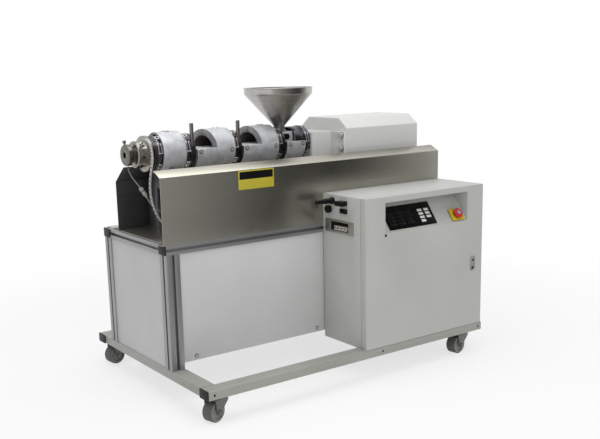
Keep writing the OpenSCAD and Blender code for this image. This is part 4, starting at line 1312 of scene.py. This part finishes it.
@dataclass
class FeedHopper:
    """Spun hopper with a rolled rim, its neck collar and the clamp knob, in millimetres."""

    wall: float = 2.0
    neck_r: float = 20.0
    neck_h: float = 20.0
    cone_h: float = 108.0
    rim_r: float = 117.0
    rim_h: float = 21.0
    collar_w: float = 4.0
    collar_h: float = 6.0
    collar_edge: float = 1.0
    sharp: float = 50.0

    def outline(self) -> list[tuple[float, float]]:
        """Returns the closed section of the shell, with its bends rounded by a few points each."""
        neck, rim, foot = self.neck_r, self.rim_r, self.neck_h
        top = foot + self.cone_h
        lip = top + self.rim_h
        bore, inner = neck - self.wall, rim - self.wall
        outside = [(neck, 0), (neck, foot - 2), (neck + 0.6, foot), (neck + 2.4, foot + 2.2)]
        shoulder = [(rim - 3, top - 3.4), (rim - 0.8, top - 0.6), (rim, top + 2), (rim, lip - 3.4)]
        roll = [(rim + 1.4, lip - 2.6), (rim + 1.8, lip - 1.4), (rim + 1.2, lip - 0.4), (rim, lip)]
        inside = [(inner, lip), (inner, top + 1.5), (inner - 1.6, top - 1), (bore + 2, foot + 3.4)]
        return [*outside, *shoulder, *roll, *inside, (bore, foot + 1), (bore, 0), (neck, 0)]

    def build(self) -> None:
        """Spins the shell and adds collar and knob."""
        lo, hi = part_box("hopper")
        foot = Vector(((lo.x + hi.x) / 2, (lo.y + hi.y) / 2, lo.z))
        seat = Matrix.Translation(foot)
        shell = Piece("hopper_shell").take(turned(self.outline(), steps=128), seat)
        shell.make(spun_finish(foot), replaces=["hopper"], sharp=self.sharp)
        inner, high, edge = self.neck_r + FREE, self.collar_h, self.collar_edge
        outer = inner + self.collar_w
        collar = [(inner, 0), (outer, 0), (outer, high - edge), (outer - edge, high), (inner, high),
                  (inner, 0)]
        Piece("neck_collar").take(turned(collar, steps=64), seat).make(STAINLESS)
        dress("clamp_knob", BLACK_PLASTIC, edge=1.2)


@dataclass
class DriveEnd:
    """Housing of the coupling, gearbox plate with cap screws and the folded motor cover, in millimetres."""

    bolt: Bolt = Bolt(9.3, 10.6, shade_ring=(1.6, 0.6))
    bolt_in: float = 12.0
    bolt_pitch: float = 46.0
    plate_t: float = 12.0

    def bolts(self) -> None:
        """Makes the cap screws in the gearbox plate's corners."""
        lo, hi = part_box("gearbox_plate")
        row = Piece("gearbox_bolts")
        for y in (lo.y + self.bolt_in * MM, hi.y - self.bolt_in * MM):
            for z in (hi.z - self.bolt_in * MM, hi.z - (self.bolt_in + self.bolt_pitch) * MM):
                row.fasten(self.bolt, facing(Vector((hi.x - self.plate_t * MM, y, z)), LEFT))
        # The second finish paints shade in the rings round the heads.
        row.make((ZINC, SHADE_BLACK))

    def build(self) -> None:
        """Softens the housings and adds the screws."""
        dress("coupling", DRIVE_PAINT, edge=1.0)
        dress("gearbox_plate", DRIVE_PAINT, edge=1.0)
        dress("motor_cover", DRIVE_PAINT, edge=3.0, segments=3)
        self.bolts()


@dataclass
class ControlCabinet:
    """Cabinet with a hinged door, console, keypad, stop switch and plugs on its side, in millimetres."""

    slope_y: float = -381.5
    slope_z: float = 487.0
    slope_deg: float = 36.7775
    recess_x: float = 121.5
    keypad_x: float = 145.5
    keypad_up: float = 6.0
    keypad_t: float = 2.0
    key_x: tuple = (160.0, 190.0)
    key_up: tuple = (57.0, 43.7, 30.4, 17.1)
    key: Brick = Brick((20, 9, 0.7), 0.3, (0, 0, 0.25))
    window_x: tuple = (26.0, 64.0, 102.0)
    window: Brick = Brick((30, 10, 0.5), 0.2, (0, 0, 0.15))
    stop_x: float = 458.5
    stop_up: float = 25.5
    stop_t: float = 5.0
    yellow_t: float = 2.0
    button_out: float = 6.0
    stem: tuple = (11.0, -16.0, 0.5)  # radius, lower end and rise past the button's foot
    # Radius, and height above the foot of the button, along the outlines of its cap and of the eye on top,
    # whose pale colour is a painted highlight.
    cap: tuple = ((0, 0), (16, 0), (17.4, 0.6), (18, 1.8), (18, 4), (17.2, 6), (15.2, 7.4), (11.5, 8.3),
                  (7.5, 8.6), (0, 8.7))
    eye: tuple = ((0, 8.2), (7, 8.2), (7, 8.8), (6.4, 9.2), (0, 9.2))
    # Share of the latch's height, and depth in its face.
    keyhole_at: tuple = (0.75, 0.4)
    keyhole: Bolt = Bolt(3.8, 1.2)
    pull_at: tuple = (0.16, 0.6)
    pull: Brick = Brick((12, 2.4, 9), 0.8)
    corner_at: tuple = (1.0, -7.0)
    corner_screw: Bolt = Bolt(4.2, 1.8)
    slope_at: tuple = (-12.0, 112.0)
    slope_screw: Bolt = Bolt(4.2, 2.2)
    terminals_n: int = 4
    terminal_pitch: float = 17.0
    terminal: Brick = Brick((22, 14, 13), 1.2, (14, -26, -7))
    lever: Brick = Brick((4, 10, 3), 0.6, (2, -26, -5))
    strip: Brick = Brick((6, 84, 3), 0.8, (22, 0, -15))

    def slope(self, x: float, up: float, out: float = 0.0) -> Matrix:
        """Returns the matrix that stands Z on the console's slope.

        Args:
            x: Place across, in millimetres of the row frame.
            up: Distance from the lower edge of the slope.
            out: Distance above its surface.

        Returns:
            A 4 by 4 matrix.
        """
        lean = math.radians(self.slope_deg)
        foot = Vector((x, self.slope_y + up * math.sin(lean), self.slope_z + up * math.cos(lean))) * MM
        turn = Matrix.Rotation(QUARTER - lean, 4, "X")
        return Matrix.Translation(foot) @ turn @ Matrix.Translation((0, 0, out * MM))

    def tiles(self, name: str, spots: Iterable[tuple], tile: Brick, finish: Finish) -> None:
        """Lays flat tiles on the keypad's film.

        Args:
            name: Name of the piece.
            spots: Place of each tile across and up the film.
            tile: The tile, with the height of its middle above the film.
            finish: Its finish.
        """
        row = Piece(name)
        for x, up in spots:
            row.lay(tile, self.slope(self.keypad_x + x, self.keypad_up + up, self.keypad_t))
        row.make(finish, DOOR)

    def keypad(self) -> None:
        """Makes the keypad film with its dark windows and white keys, of which the last place has none."""
        dress("keypad", KEYPAD_FILM, edge=0.7, body=DOOR)
        keys = [(x, up) for up in self.key_up for x in self.key_x][:-1]
        self.tiles("keypad_keys", keys, self.key, KEY_WHITE)
        panes = [(x, up) for x in self.window_x for up in self.key_up]
        self.tiles("keypad_windows", panes, self.window, KEY_GREY)

    def stop_switch(self) -> None:
        """Makes the black switch body with its yellow top and the red mushroom button, with a painted
        highlight on its top.
        """
        base = Piece("stop_body").take(cad_copy("stop_plate", 0.8))
        seat = self.slope(self.stop_x, self.stop_up)
        out = seat.to_3x3().col[2]
        level = seat @ Vector((0, 0, (self.stop_t - self.yellow_t) * MM))
        every = base.bm.verts[:] + base.bm.edges[:] + base.bm.faces[:]
        bmesh.ops.bisect_plane(base.bm, geom=every, plane_co=level, plane_no=out)
        base.tell(lambda face: (face.calc_center_median() - level).dot(out) > 0)
        base.make((BLACK_PLASTIC, STOP_YELLOW), DOOR, ["stop_plate"])
        foot = self.stop_t + self.button_out
        cap, eye = ([(r, foot + h) for r, h in outline] for outline in (self.cap, self.eye))
        r, low, over = self.stem
        stem = [(0, low), (r, low), (r, foot + over), (0, foot + over)]
        button = Piece("stop_mushroom").take(turned(cap, steps=64), seat)
        button.take(turned(stem, steps=40), seat, 1).take(turned(eye, steps=32), seat, 2)
        button.make((STOP_RED, BLACK_PLASTIC, STOP_HIGHLIGHT), "stop_button", ["stop_button"])

    def fittings(self) -> None:
        """Makes the pull and keyhole of the latch and the dark screws of the console."""
        lo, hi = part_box("latch")
        spots = []
        for share, deep in (self.keyhole_at, self.pull_at):
            spots.append(Vector(((lo.x + hi.x) / 2, lo.y + deep * MM, lo.z + share * (hi.z - lo.z))))
        Piece("latch_pull").lay(self.pull, Matrix.Translation(spots[1])).make(CHROME, DOOR)
        row = Piece("door_fittings").fasten(self.keyhole, facing(spots[0], FRONT))
        face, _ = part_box("door")
        right, up = self.corner_at
        corner = Vector(((self.recess_x + right) * MM, face.y, (self.slope_z + up) * MM))
        row.fasten(self.corner_screw, facing(corner, FRONT))
        right, up = self.slope_at
        row.fasten(self.slope_screw, self.slope(self.stop_x + right, up))
        row.make(BLACK_PLASTIC, DOOR)

    def terminals(self) -> None:
        """Makes the pale connectors behind the opening in the cabinet's side."""
        heart = middle("connector_plate")
        row = Piece("terminal_strip")
        for i in range(self.terminals_n):
            seat = Matrix.Translation(heart + Vector((0, self.terminal_pitch * i, 0)) * MM)
            row.lay(self.terminal, seat).lay(self.lever, seat, 1)
        row.lay(self.strip, Matrix.Translation(heart), 1)
        row.make((PALE_NYLON, BLACK_PLASTIC))

    def build(self) -> None:
        """Softens the sheet metal and adds what sits on it."""
        dress("cabinet", CABINET_PAINT, edge=0.8)
        dress("door", CABINET_PAINT, edge=0.9, body=DOOR)
        # The console's darker paint is painted shade of its recess.
        dress("console", CONSOLE_SHADED_PAINT, edge=0.5, body=DOOR)
        dress("latch", LATCH_GREY, edge=0.5, body=DOOR)
        dress("connector_plate", STAINLESS, edge=0.4)
        dress("side_connectors", BLACK_PLASTIC, edge=0.8)
        self.keypad()
        self.stop_switch()
        self.fittings()
        self.terminals()


def main() -> None:
    """Builds the studio and every sub-assembly in order."""
    logging.basicConfig(level=logging.INFO)
    groups = (Studio, Cables, BaseCart, Castors, SlottedFrame, Trough, BarrelLine, Die, FeedHopper, DriveEnd,
              ControlCabinet)
    for group in groups:
        group().build()


if __name__ == "__main__":
    main()
